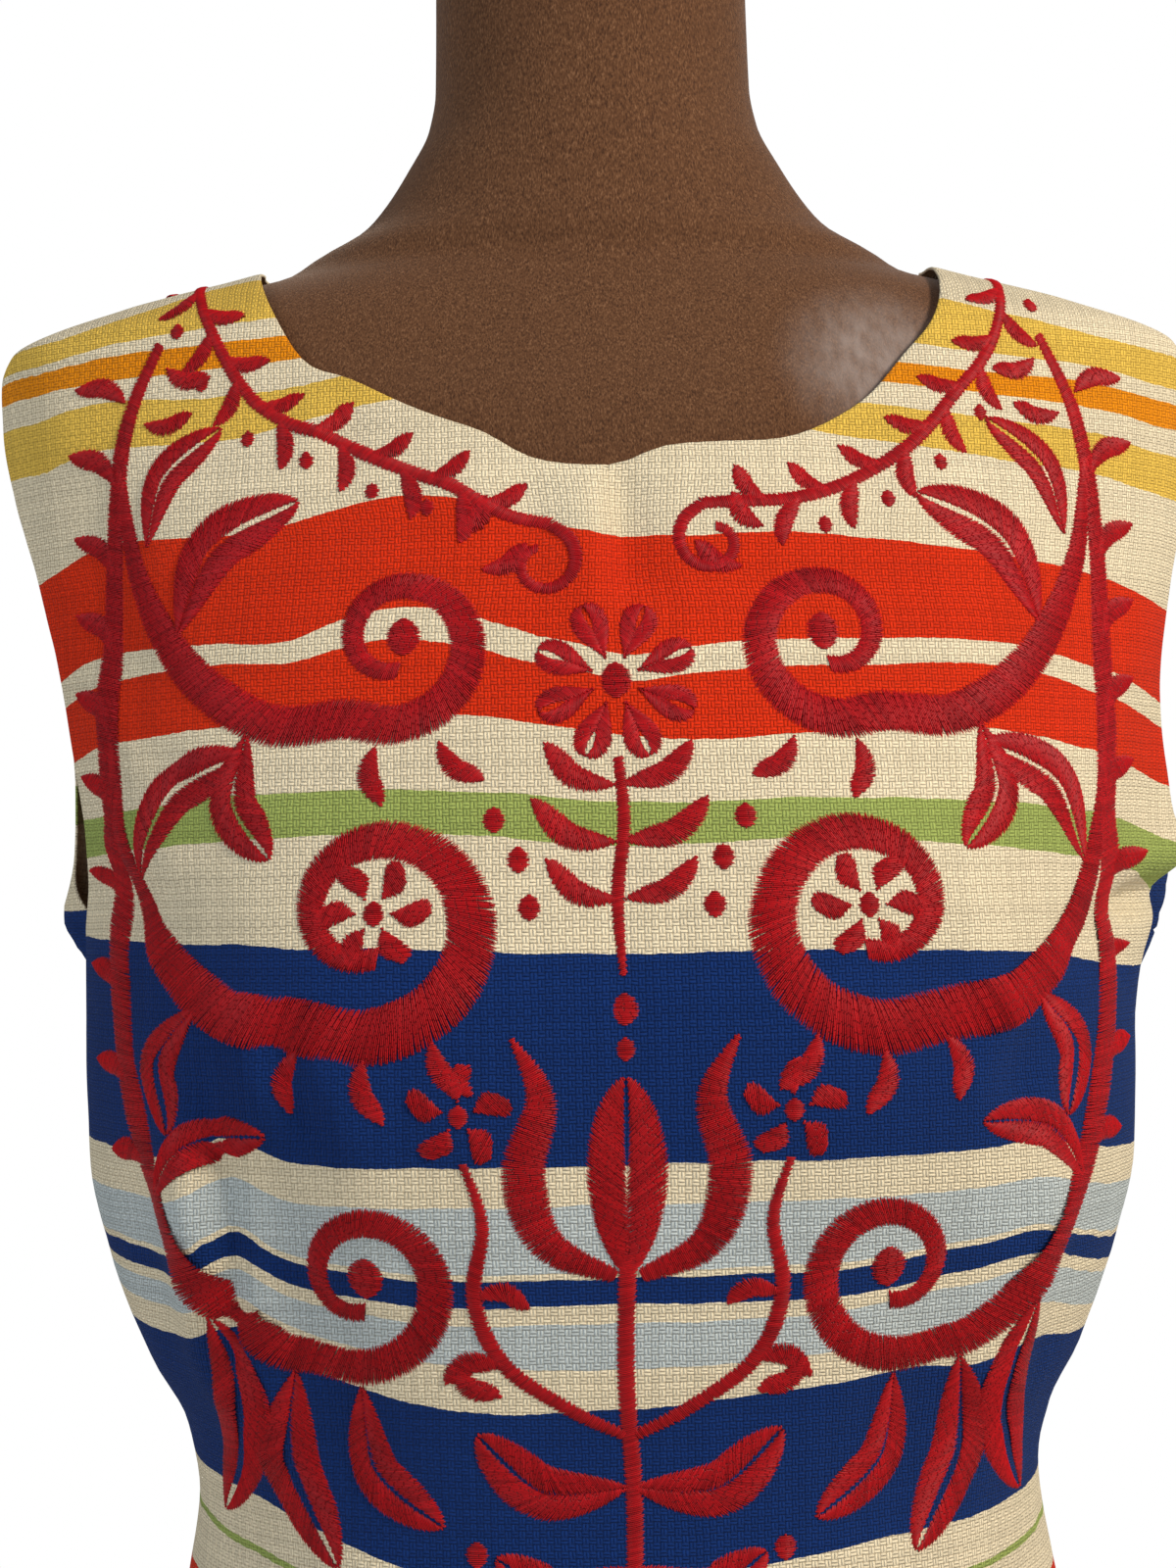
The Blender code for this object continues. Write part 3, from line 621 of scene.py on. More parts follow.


# Brown cover with a short pile that leans two ways, and by the neckline a pale patch that is brushed nap
# with painted sheen of the light on it
def formClothMaterial():
    look = finishes["formCloth"]
    material, tree, shader = newMaterial(
        "formCloth", Sheen_Weight=look["sheen"], Sheen_Roughness=0.4, Sheen_Tint=look["sheenTint"],
        Specular_IOR_Level=look["specular"],
    )
    place = objectPlace(tree)
    grain, crossed = (
        noiseOn(tree, leaning(tree, place, lean, 0.4), look["grain"] * size, 2.0, 0.55)["Fac"]
        for lean, size in zip(look["grainLeans"], (1.0, 0.8))
    )
    pile = maths(tree, "MULTIPLY_ADD", maths(tree, "SUBTRACT", crossed, 0.5), 0.8, grain)
    uneven = useGroup(tree, "uneven", Place=place, Slow_scale=11.0, Fine_scale=170.0, Depth=0.10)
    colour = blendColours(tree, fromRange(tree, pile, 0.26, 0.50), look["dark"], look["mid"])
    colour = blendColours(tree, fromRange(tree, pile, 0.54, 0.84), colour, look["light"])
    colour = toned(tree, colour, uneven["Tone"])
    # painted sheen: a pale patch of brushed nap, with the light's sheen on the pile painted into the colour
    away = vectors(tree, "DISTANCE", place, look["napAndSheenPlace"], "Value")
    near = fromRange(tree, away, 0.004, look["napAndSheenReach"], 1.0, 0.0, smooth=True)
    strokes = noiseOn(tree, leaning(tree, place, 0.5, 0.25), 260.0, 3.0)["Fac"]
    napAndSheen = maths(tree, "MULTIPLY", near, fromRange(tree, strokes, 0.25, 0.80, 0.30, 0.85))
    colour = blendColours(tree, napAndSheen, colour, look["napAndSheen"])
    finishMaterial(tree, shader, colour, fromRange(tree, pile, 0.3, 0.7, 0.78, 0.94), pile, look["bump"])
    return material


def plainMaterial(name):
    colour, roughness, scale, depth, metallic = finishes[name]
    material, tree, shader = newMaterial(name, Metallic=metallic)
    place = objectPlace(tree)
    uneven = useGroup(tree, "uneven", Place=place, Slow_scale=scale / 8, Fine_scale=scale, Depth=0.10)
    rough = fromRange(tree, uneven["Fine"], 0.3, 0.7, *roughness)
    finishMaterial(tree, shader, toned(tree, colour, uneven["Tone"]), rough, uneven["Fine"], depth)
    return material


def woodMaterial():
    look = finishes["turnedWood"]
    material, tree, shader = newMaterial("turnedWood", Coat_Weight=look["varnish"])
    place = objectPlace(tree)
    uneven = useGroup(tree, "uneven", Place=place, Slow_scale=22.0, Fine_scale=700.0, Depth=0.2)
    along = leaning(tree, place, 0.0, 0.12)
    inputs = {"Vector": along, "Scale": look["rings"], "Distortion": 3.5, "Detail": 3.0}
    rings = addNode(tree, "ShaderNodeTexWave", inputs).outputs["Fac"]
    colour = toned(tree, blendColours(tree, rings, look["dark"], look["light"]), uneven["Tone"])
    rough = fromRange(tree, rings, 0.0, 1.0, *look["roughness"])
    finishMaterial(tree, shader, colour, rough, rings, look["bump"])
    return material


materials = {
    "dressCloth": dressClothMaterial("dressCloth"),
    "wrongSide": dressClothMaterial("dressClothWrongSide"),
    "embroidery": threadMaterial("embroideryThread"),
    "sewing": threadMaterial("sewingThread"),
    "zipNylon": threadMaterial("zipNylon"),
    "zipTape": plainMaterial("zipTape"),
    "form": formClothMaterial(),
    "zipMetal": plainMaterial("zipMetal"),
    "wood": woodMaterial(),
    "blackMetal": plainMaterial("blackMetal"),
    "floor": plainMaterial("paleFloor"),
}
print("materials are made")

# The surface of the dress and of the form, from level sections as in the solids
dressShape = {
    "seamGap": 0.0004,
    "hem": 0.440,
    "hip": 0.790,
    "underarm": 1.170,
    "shoulderTip": 1.3725,
    "neckPoint": 1.400,
    "neckHalfWidth": 0.115,
    "neckDrop": {front: 0.077, back: 0.028},
    # by side, for the front and then the back
    "neckSquareness": {left: (1.8, 2.0), right: (2.5, 2.0)},
    "neckDip": 0.0070,
    "neckDipPlace": -0.011,
    "neckDipSpread": 0.023,
    # small departures of the front neckline: x, how far it moves up, and over what half width
    "neckWaves": [(-0.097, -0.0068, 0.0110), (0.100, 0.0060, 0.0120), (0.058, -0.0028, 0.0180)],
    # by side, for the front and then the back
    "armholeScoop": {left: (0.240, 0.118), right: (0.150, 0.118)},
    "armholeSlant": {left: (0.110, -0.052), right: (0.060, -0.052)},
    "armholeSquareness": 2.2,
    "sideRise": 0.045,
    "zipSlot": 0.0034,
    "zipEnd": 0.954,
    "zipEndTaper": 0.007,
    "centreGap": 0.0004,
    "unevenness": 0.00045,
    "clothWall": 0.0009,
}
Section = namedtuple("Section", "height halfWidth front back squareness")
dressSections = [
    (0.4400, 0.2120, 0.1500, 0.1520, 2.10),
    (0.5600, 0.2050, 0.1430, 0.1500, 2.15),
    (0.6800, 0.1960, 0.1350, 0.1450, 2.20),
    (0.7900, 0.1845, 0.1280, 0.1370, 2.25),
    (0.8700, 0.1690, 0.1210, 0.1220, 2.25),
    (0.9250, 0.1545, 0.1150, 0.1040, 2.25),
    (0.9610, 0.1452, 0.1115, 0.0950, 2.25),
    (0.9880, 0.1418, 0.1110, 0.0920, 2.25),
    (1.0120, 0.1458, 0.1135, 0.0915, 2.25),
    (1.0320, 0.1567, 0.1170, 0.0925, 2.25),
    (1.0660, 0.1692, 0.1235, 0.0955, 2.28),
    (1.0980, 0.1755, 0.1295, 0.0990, 2.30),
    (1.1370, 0.1762, 0.1330, 0.1030, 2.30),
    (1.1700, 0.1765, 0.1310, 0.1060, 2.30),
    (1.2300, 0.1890, 0.1190, 0.1090, 2.20),
    (1.2800, 0.1985, 0.1040, 0.1060, 2.10),
    (1.3180, 0.2060, 0.0900, 0.0990, 2.00),
    (1.3450, 0.2090, 0.0785, 0.0910, 1.95),
    (1.3620, 0.2082, 0.0710, 0.0835, 1.92),
    (1.3725, 0.2045, 0.0665, 0.0780, 1.90),
    (1.3860, 0.1715, 0.0610, 0.0710, 1.85),
    (1.3940, 0.1395, 0.0580, 0.0665, 1.80),
    (1.4000, 0.1150, 0.0565, 0.0640, 1.80),
]
formSections = [
    (0.6550, 0.1480, 0.0980, 0.1080, 2.20),
    (0.6700, 0.1580, 0.1060, 0.1160, 2.20),
    (0.7600, 0.1690, 0.1130, 0.1240, 2.20),
    (0.8500, 0.1550, 0.1060, 0.1110, 2.20),
    (0.9250, 0.1340, 0.0980, 0.0900, 2.20),
    (0.9880, 0.1250, 0.0950, 0.0790, 2.20),
    (1.0320, 0.1330, 0.0990, 0.0800, 2.20),
    (1.0660, 0.1460, 0.1060, 0.0850, 2.20),
    (1.0980, 0.1560, 0.1140, 0.0900, 2.30),
    (1.1370, 0.1605, 0.1190, 0.0960, 2.30),
    (1.1700, 0.1615, 0.1180, 0.0990, 2.30),
    (1.2300, 0.1720, 0.1080, 0.1030, 2.20),
    (1.2800, 0.1835, 0.0955, 0.1010, 2.10),
    (1.3000, 0.1920, 0.0895, 0.0980, 2.05),
    (1.3180, 0.2020, 0.0825, 0.0940, 2.00),
    (1.4050, 0.0990, 0.0545, 0.0615, 1.85),
    (1.4133, 0.0838, 0.0535, 0.0600, 1.90),
    (1.4205, 0.0765, 0.0527, 0.0587, 1.95),
    (1.4360, 0.0660, 0.0517, 0.0570, 2.00),
    (1.4510, 0.0582, 0.0510, 0.0560, 2.00),
    (1.4660, 0.0555, 0.0505, 0.0553, 2.00),
    (1.5220, 0.0545, 0.0500, 0.0545, 2.00),
]
# The fullness over the bust: lift, place across, height, spread across and up
dressFullness = (0.008, 0.085, 1.135, 0.048, 0.055)
formFullness = (0.016, 0.085, 1.135, 0.040, 0.050)

# Folds and creases: a top and a bottom point, a half width, a lift, and how far the middle of the fold bows
# sideways
Fold = namedtuple("Fold", "topX topHeight bottomX bottomHeight halfWidth lift bow")
foldRows = {
    front: [
        (-0.128, 1.125, -0.104, 0.985, 0.011, 0.0045, 0.0),
        (-0.104, 1.120, -0.078, 0.975, 0.012, -0.0030, 0.0),
        (0.128, 1.130, 0.112, 0.990, 0.013, 0.0040, 0.0),
        (0.104, 1.105, 0.076, 0.970, 0.012, -0.0025, 0.0),
        (0.188, 1.1860, 0.160, 1.1735, 0.0040, -0.0095, 0.0),
        (0.190, 1.1975, 0.158, 1.1850, 0.0060, 0.0045, 0.0),
        (-0.176, 1.330, -0.150, 1.235, 0.012, -0.0035, 0.0),
        (0.176, 1.325, 0.152, 1.230, 0.012, -0.0020, 0.0),
        (-0.120, 0.930, -0.150, 0.800, 0.016, 0.0035, 0.0),
        (0.118, 0.935, 0.152, 0.790, 0.016, 0.0035, 0.0),
        (-0.1110, 1.154, -0.0990, 1.112, 0.0058, 0.0028, 0.0),
        (-0.1020, 1.148, -0.0880, 1.106, 0.0052, -0.0030, 0.0),
        (-0.0930, 1.142, -0.0730, 1.098, 0.0060, 0.0022, 0.0),
        (0.1150, 1.160, 0.0980, 1.108, 0.0070, 0.0020, 0.0),
        (0.1300, 1.158, 0.1120, 1.112, 0.0060, -0.0022, 0.0),
        (-0.133, 1.122, -0.126, 1.030, 0.0075, 0.0050, -0.002),
        (-0.1215, 1.126, -0.1180, 1.030, 0.0036, -0.0062, -0.002),
        (-0.1140, 1.122, -0.1040, 1.022, 0.0085, -0.0030, -0.002),
        (-0.151, 1.105, -0.141, 1.036, 0.0060, -0.0034, 0.002),
        (-0.098, 1.010, -0.060, 0.952, 0.0100, 0.0022, 0.0),
        (-0.150, 1.128, -0.112, 1.148, 0.0090, 0.0020, 0.0),
        (0.070, 1.200, 0.140, 1.130, 0.0120, 0.0018, 0.0),
        (0.060, 1.176, 0.130, 1.104, 0.0100, -0.0014, 0.0),
        (-0.134, 1.052, -0.098, 1.004, 0.0050, 0.0020, 0.004),
        (0.136, 1.098, 0.118, 1.030, 0.0050, 0.0020, 0.003),
        (0.146, 1.088, 0.124, 1.015, 0.0050, -0.0018, 0.002),
        (0.094, 1.046, 0.128, 1.004, 0.0050, 0.0018, -0.003),
        (0.104, 1.036, 0.138, 0.992, 0.0045, -0.0016, -0.003),
        (0.168, 1.184, 0.132, 1.150, 0.0045, -0.0020, 0.003),
        (-0.168, 1.196, -0.136, 1.171, 0.0066, -0.0034, -0.001),
        (-0.160, 1.209, -0.128, 1.186, 0.0075, 0.0018, 0.0),
        (0.1605, 1.178, 0.1640, 1.148, 0.0030, -0.0034, 0.0),
        (-0.168, 1.262, -0.140, 1.222, 0.0060, 0.0016, 0.003),
        (-0.160, 1.250, -0.126, 1.214, 0.0050, -0.0014, 0.003),
        (-0.0085, 1.316, -0.0060, 1.262, 0.0072, 0.0034, 0.0),
        (0.0035, 1.322, 0.0060, 1.266, 0.0048, -0.0052, 0.0),
        (-0.047, 1.322, -0.040, 1.292, 0.0090, 0.0018, 0.0),
        (-0.028, 1.316, -0.024, 1.284, 0.0065, -0.0014, 0.0),
        (-0.087, 1.346, -0.098, 1.318, 0.0045, 0.0016, 0.0),
        (-0.079, 1.340, -0.090, 1.310, 0.0050, -0.0018, 0.0),
        (0.074, 1.338, 0.084, 1.306, 0.0080, -0.0014, 0.0),
        (0.040, 1.322, 0.046, 1.286, 0.0090, 0.0012, 0.0),
        (-0.060, 0.900, -0.090, 0.700, 0.0120, 0.0020, 0.006),
        (0.050, 0.880, 0.074, 0.690, 0.0120, -0.0018, -0.006),
    ],
    back: [
        (-0.100, 1.060, -0.055, 0.955, 0.013, 0.0050, 0.0),
        (0.096, 1.070, 0.048, 0.950, 0.013, 0.0045, 0.0),
        (-0.060, 1.090, -0.030, 1.000, 0.011, -0.0030, 0.0),
        (0.066, 1.085, 0.030, 0.985, 0.011, -0.0030, 0.0),
        (-0.160, 1.290, -0.120, 1.190, 0.014, 0.0030, 0.0),
        (0.160, 1.280, 0.122, 1.185, 0.014, 0.0030, 0.0),
        (0.110, 0.900, 0.145, 0.760, 0.018, -0.0030, 0.0),
        (-0.128, 1.080, -0.092, 1.010, 0.0050, 0.0022, 0.004),
        (-0.118, 1.062, -0.076, 0.996, 0.0050, -0.0020, 0.004),
        (0.130, 1.072, 0.090, 1.006, 0.0050, 0.0022, -0.004),
        (0.116, 1.052, 0.072, 0.992, 0.0050, -0.0020, -0.003),
        (-0.090, 0.985, -0.030, 0.968, 0.0060, 0.0022, 0.003),
        (0.094, 0.980, 0.032, 0.964, 0.0060, 0.0020, -0.003),
        (-0.150, 1.205, -0.118, 1.150, 0.0060, 0.0018, 0.003),
        (0.152, 1.200, 0.122, 1.142, 0.0060, 0.0018, -0.003),
        (-0.050, 0.860, -0.070, 0.680, 0.0120, 0.0018, 0.006),
    ],
}
folds = {face: [Fold(*row) for row in rows] for face, rows in foldRows.items()}
# Where the loose cloth round the armholes stands out: side, face, share, height, spread of each,
# and how far it stands out
Flare = namedtuple("Flare", "side face share height spreadShare spreadUp lift")
flares = [
    Flare(right, front, 0.93, 1.197, 0.120, 0.034, 0.0180),
    Flare(right, back, 0.88, 1.182, 0.110, 0.044, 0.0300),
    Flare(left, back, 0.88, 1.177, 0.110, 0.016, 0.0150),
    Flare(left, back, 0.92, 1.200, 0.080, 0.022, 0.0050),
    Flare(left, back, 0.90, 1.120, 0.110, 0.060, 0.0080),
    Flare(left, front, 0.92, 1.262, 0.140, 0.038, 0.0030),
]
# The seams at the sides are drawn in a little between the underarm and the waist
sideDraw = {"depth": 0.0032, "shareWide": 0.07, "height": 1.130, "spreadUp": 0.062}
# Soft flutes of the skirt: how many go round, how deep they are at the hem, and their start
flutes = [(4, 0.0050, 0.6), (7, 0.0042, math.pi), (11, 0.0016, 0.0)]


# Sections in order of height, with a smooth curve through each of their columns
class Stack:
    def __init__(self, rows):
        rows = sorted(rows)
        self.heights = [row[0] for row in rows]
        self.columns = [(values, self.slopes(values)) for values in zip(*rows)]

    def slopes(self, values):
        steps = [b - a for a, b in zip(self.heights, self.heights[1:])]
        rises = [(b - a) / step for a, b, step in zip(values, values[1:], steps)]
        found = [rises[0]]
        for below, above in zip(rises, rises[1:]):
            found.append(0.0 if below * above <= 0 else 2 * below * above / (below + above))
        return found + [rises[-1]]

    def at(self, height):
        last = len(self.heights) - 2
        place = 0
        while place < last and height > self.heights[place + 1]:
            place += 1
        step = self.heights[place + 1] - self.heights[place]
        t = min(1.0, max(0.0, (height - self.heights[place]) / step))
        keepStart, keepEnd = 2 * t**3 - 3 * t**2 + 1, 3 * t**2 - 2 * t**3
        leave, arrive = (t**3 - 2 * t**2 + t) * step, (t**3 - t**2) * step
        return Section(*(
            keepStart * values[place] + leave * slopes[place]
            + keepEnd * values[place + 1] + arrive * slopes[place + 1]
            for values, slopes in self.columns
        ))


# The form's sections over the shoulders: the dress's, lowered and drawn in by the cloth
def shoulderSections():
    inset, above = 0.0030, 1.340
    return [
        (height - inset, halfWidth - inset * 0.8, reach - inset, behind - inset, squareness)
        for height, halfWidth, reach, behind, squareness in dressSections
        if height > above
    ]


dressStack = Stack(dressSections)
formStack = Stack(formSections + shoulderSections())


def smoothStep(value):
    value = min(1.0, max(0.0, value))
    return value * value * (3 - 2 * value)


def fullnessAt(fullness, x, height):
    lift, across, up, spreadAcross, spreadUp = fullness
    away = ((abs(x) - across) / spreadAcross) ** 2 + ((height - up) / spreadUp) ** 2
    return lift * math.exp(-0.5 * away)


def foldsAt(face, x, height):
    lift = 0.0
    for fold in folds[face]:
        runX, runUp = fold.bottomX - fold.topX, fold.bottomHeight - fold.topHeight
        length = math.hypot(runX, runUp)
        along = ((x - fold.topX) * runX + (height - fold.topHeight) * runUp) / length**2
        if not -0.5 < along < 1.5:
            continue
        across = ((x - fold.topX) * runUp - (height - fold.topHeight) * runX) / length
        across -= fold.bow * (1 - (2 * along - 1) ** 2)
        if abs(across) < 4.5 * fold.halfWidth:
            ends = math.exp(-2.5 * (2 * along - 1) ** 4)
            lift += fold.lift * ends * math.exp(-0.5 * (across / fold.halfWidth) ** 2)
    return lift


def flutesAt(side, face, share, height):
    turn = share * math.pi / 2
    around = side * (turn if face == front else math.pi - turn)
    drop = (dressShape["hip"] - height) / (dressShape["hip"] - dressShape["hem"])
    return smoothStep(drop) * sum(depth * math.cos(count * around + start) for count, depth, start in flutes)


# x, y and the outward direction on the +X side of a section
def onSection(section, face, share):
    turn = share * math.pi / 2
    power = 2 / section.squareness
    reach = section.back if face == back else section.front
    x = section.halfWidth * max(0.0, math.sin(turn)) ** power
    y = reach * max(0.0, math.cos(turn)) ** power
    outX = (x / section.halfWidth) ** (section.squareness - 1) / section.halfWidth
    outY = (y / reach) ** (section.squareness - 1) / reach
    return x, face * y, Vector((outX, face * outY, 0)).normalized()


# The seam below the underarm holds the flares in, and above it they die away at the seam
def flaresAt(side, face, share, height):
    lift = 0.0
    for flare in flares:
        if (flare.side, flare.face) == (side, face):
            away = ((share - flare.share) / flare.spreadShare) ** 2
            away += ((height - flare.height) / flare.spreadUp) ** 2
            lift += flare.lift * math.exp(-away)
    held = smoothStep((1 - share) * 9)
    free = smoothStep((height - dressShape["underarm"] + 0.004) / 0.03)
    drawn = ((1 - share) / sideDraw["shareWide"]) ** 2
    drawn += ((height - sideDraw["height"]) / sideDraw["spreadUp"]) ** 2
    return lift * (held + (1 - held) * free) - sideDraw["depth"] * math.exp(-drawn)


# Slight unevenness of cloth that has been worn and hung, but none beside the zip
def unevenAt(point):
    slow = noise.noise(point * 22.0) * 1.3
    fine = noise.noise(point * 75.0 + Vector((5.0, 0.0, 0.0))) * 0.6
    besideZip = 1.0 if point.y < 0 else smoothStep((abs(point.x) - 0.004) / 0.02)
    return dressShape["unevenness"] * (slow + fine) * besideZip


def dressPoint(side, face, share, height):
    section = dressStack.at(height)
    x, y, outward = onSection(section, face, share)
    lift = foldsAt(face, side * x, height) * smoothStep((1 - share) * 6)
    lift += flutesAt(side, face, share, height) + flaresAt(side, face, share, height)
    lift += unevenAt(Vector((side * x, y, height)))
    if face == front:
        lift += fullnessAt(dressFullness, x, height)
    y += face * dressShape["seamGap"] / 2
    return Vector((side * (x + lift * outward.x), y + lift * outward.y, height))


def shareAt(x, height):
    section = dressStack.at(height)
    return math.asin(min(1.0, x / section.halfWidth) ** (section.squareness / 2)) * 2 / math.pi


# A point on the front and its outward normal, for a place seen from straight in front
def frontPlace(x, height):
    side = right if x >= 0 else left
    step = 0.0008
    here = dressPoint(side, front, shareAt(abs(x), height), height)
    beside = dressPoint(side, front, shareAt(abs(x) + step, height), height)
    above = dressPoint(side, front, shareAt(abs(x), height + step), height + step)
    return here, (beside - here).cross(above - here).normalized() * side


# How finely the panels are gridded, and how their edges are turned
panelGrid = {
    "frontColumns": 72,
    "backColumns": 54,
    "skirtRows": 150,
    "chestRows": 46,
    "neckRows": 44,
    "backChestRows": 60,
    "backNeckRows": 26,
    "crowding": 0.45,
    "edgeStrips": (0.0036, 0.011),
    "edgeCurl": (0.00050, 0.00016, 0.00004),
    "pathSamples": 400,
    "slopeStart": 1.320,
    "slopeStep": 0.008,
}


def spread(bottom, top, steps):
    return [bottom + (top - bottom) * step / steps for step in range(steps + 1)]


def partsWithStrips(steps, atStart=False):
    strips = panelGrid["edgeStrips"]
    middle = spread(0.0, 1.0, steps)[1:-1]
    start = [0.0, *strips] if atStart else [0.0]
    return start + middle + [1 - strips[1], 1 - strips[0], 1.0]


def resampled(path, side, face, rows):
    points = [dressPoint(side, face, share, height) for share, height in path]
    travelled = [0.0]
    for a, b in zip(points, points[1:]):
        travelled.append(travelled[-1] + (b - a).length)
    places, index = [], 0
    for part in partsWithStrips(rows):
        goal = travelled[-1] * (part + panelGrid["crowding"] * part * (1 - part))
        while index < len(path) - 2 and travelled[index + 1] < goal:
            index += 1
        t = (goal - travelled[index]) / (travelled[index + 1] - travelled[index])
        (shareA, heightA), (shareB, heightB) = path[index], path[index + 1]
        places.append((shareA + t * (shareB - shareA), heightA + t * (heightB - heightA)))
    return places


def cutOf(measure, side, face):
    return dressShape[measure][side][0 if face == front else 1]


def armholePath(side, face):
    middle = (dressShape["underarm"] + dressShape["shoulderTip"]) / 2
    radius = (dressShape["shoulderTip"] - dressShape["underarm"]) / 2
    power = 2 / dressShape["armholeSquareness"]
    path = []
    for step in range(panelGrid["pathSamples"] + 1):
        turn = math.pi * step / panelGrid["pathSamples"]
        rise = math.copysign(abs(math.cos(turn)) ** power, -math.cos(turn))
        scoop = cutOf("armholeScoop", side, face) - cutOf("armholeSlant", side, face) * rise
        path.append((1 - scoop * max(0.0, math.sin(turn)) ** power, middle + radius * rise))
    return path


# x and height at a part of the neckline, from the centre to the shoulder seam
def neckPlace(side, face, startX, part):
    turn = math.pi / 2 * part
    squareness = cutOf("neckSquareness", side, face)
    x = startX + (dressShape["neckHalfWidth"] - startX) * math.sin(turn) ** (2 / squareness)
    drop = dressShape["neckDrop"][face] * max(0.0, math.cos(turn)) ** (2 / squareness)
    height = dressShape["neckPoint"] - drop
    if face == front:
        aside = (side * x - dressShape["neckDipPlace"]) / dressShape["neckDipSpread"]
        height -= dressShape["neckDip"] * math.exp(-(aside**4))
        for place, rise, wide in dressShape["neckWaves"]:
            height += rise * math.exp(-(((side * x - place) / wide) ** 2))
    return x, height


def necklinePath(side, face, startX):
    parts = spread(0.0, 1.0, panelGrid["pathSamples"])[:-1]
    path = []
    for part in parts:
        x, height = neckPlace(side, face, startX, part)
        path.append((shareAt(x, height), height))
    return path + [(1.0, dressShape["neckPoint"])]


def skirtHeights(top):
    hem = dressShape["hem"]
    return [hem, hem + 0.0008, hem + 0.0024] + spread(hem, top, panelGrid["skirtRows"])[1:]


# Rows of (share, height), from the hem to the shoulder seam
def panelGridOf(side, face, halfGap):
    chest = panelGrid["chestRows" if face == front else "backChestRows"]
    neck = panelGrid["neckRows" if face == front else "backNeckRows"]
    columns = panelGrid["frontColumns" if face == front else "backColumns"]
    neckline = resampled(necklinePath(side, face, halfGap(dressShape["neckPoint"])), side, face, neck)
    chestBottom = dressShape["underarm"] - dressShape["sideRise"]
    heights = skirtHeights(chestBottom) + spread(chestBottom, neckline[0][1], chest)[1:-1]
    inner = [(shareAt(halfGap(height), height), height) for height in heights] + neckline
    outer = [(1.0, height) for height in skirtHeights(dressShape["underarm"])]
    outer += resampled(armholePath(side, face), side, face, chest + neck)[1:]
    grid = []
    for (shareIn, heightIn), (shareOut, heightOut) in zip(inner, outer):
        grid.append([
            (shareIn + part * (shareOut - shareIn), heightIn + part * (heightOut - heightIn))
            for part in partsWithStrips(columns, atStart=True)
        ])
    return grid


# How far up the cloth a place is: its height, and over the shoulder the length along the slope
def upTheCloth(face, share, height):
    start = panelGrid["slopeStart"]
    if height <= start:
        return height
    heights = spread(start, height, math.ceil((height - start) / panelGrid["slopeStep"]))
    points = [Vector((*onSection(dressStack.at(up), face, share)[:2], up)) for up in heights]
    return start + sum((b - a).length for a, b in zip(points, points[1:]))


# A panel's open surface, with its place on the cloth and in the print at each point
def weldedPanel(name, face, sides, halfGap):
    points, faces, clothPlaces, printPlaces, known = [], [], [], [], {}
    knotsAt = {}
    for side in sides:
        rows = []
        for row in panelGridOf(side, face, halfGap):
            indices, aside, before = [], None, None
            for share, height in row:
                point = dressPoint(side, face, share, height)
                aside = abs(point.x) if before is None else aside + (point.xy - before.xy).length
                before = point
                key = tuple(round(part, 6) for part in point)
                if key not in known:
                    known[key] = len(points)
                    points.append(point)
                    x = point.x
                    if face == front:
                        column = round(x, 4)
                        if column not in knotsAt:
                            knotsAt[column] = frontPrintKnots(column)
                    clothPlaces.append((side * aside, upTheCloth(face, share, height)))
                    printPlaces.append(printPlace(side, face, x, height, knotsAt.get(round(x, 4))))
                indices.append(known[key])
            rows.append(indices)
        for lower, upper in zip(rows, rows[1:]):
            for column in range(len(lower) - 1):
                corners = [lower[column], lower[column + 1], upper[column + 1], upper[column]]
                corners = list(dict.fromkeys(corners))
                if len(corners) > 2:
                    faces.append(corners[::-1] if (side == left) == (face == front) else corners)
    data = newMesh(name, points, [], faces, {"printPlace": printPlaces})
    layer = data.uv_layers.new(name="clothPlace")
    for loop in data.loops:
        layer.data[loop.index].uv = clothPlaces[loop.vertex_index]
    return data


# The turned edges roll in a little, so that seams sink and edges look folded
def curlEdges(data):
    counts = {}
    for polygon in data.polygons:
        for key in polygon.edge_keys:
            counts[key] = counts.get(key, 0) + 1
    ring = {index for key, count in counts.items() if count == 1 for index in key}
    neighbours = {}
    for a, b in counts:
        neighbours.setdefault(a, set()).add(b)
        neighbours.setdefault(b, set()).add(a)
    done, moves = set(), []
    for depth in panelGrid["edgeCurl"]:
        moves += [(index, depth) for index in ring]
        done |= ring
        ring = {other for index in ring for other in neighbours[index]} - done
    normals = [vertex.normal.copy() for vertex in data.vertices]
    for index, depth in moves:
        data.vertices[index].co -= normals[index] * depth


# A mesh with a number, or a vector's three, at each point for each of its named attributes
def newMesh(name, points, edges, faces, numbers=(), outwards=()):
    data = bpy.data.meshes.new(name)
    data.from_pydata(points, edges, faces)
    for title, values in dict(numbers).items():
        data.attributes.new(title, "FLOAT", "POINT").data.foreach_set("value", values)
    if outwards:
        data.attributes.new("outward", "FLOAT_VECTOR", "POINT").data.foreach_set("vector", outwards)
    return data


def linkObject(name, data, *looks):
    for look in looks:
        data.materials.append(materials[look])
    made = bpy.data.objects.new(name, data)
    scene.collection.objects.link(made)
    return made


# The object with its modifiers applied, as one plain mesh
def baked(made):
    bpy.context.view_layer.update()
    graph = bpy.context.evaluated_depsgraph_get()
    data = bpy.data.meshes.new_from_object(made.evaluated_get(graph))
    made.modifiers.clear()
    old, made.data = made.data, data
    bpy.data.meshes.remove(old)
    data.name = made.name
    return made


def addWall(piece, thickness, offset):
    wall = piece.modifiers.new("wall", "SOLIDIFY")
    wall.thickness = thickness
    wall.offset = offset
    return wall


def addRounding(piece, width, segments):
    rounded = piece.modifiers.new("rounded", "BEVEL")
    rounded.width = width
    rounded.segments = segments
    rounded.limit_method = "ANGLE"
    return rounded


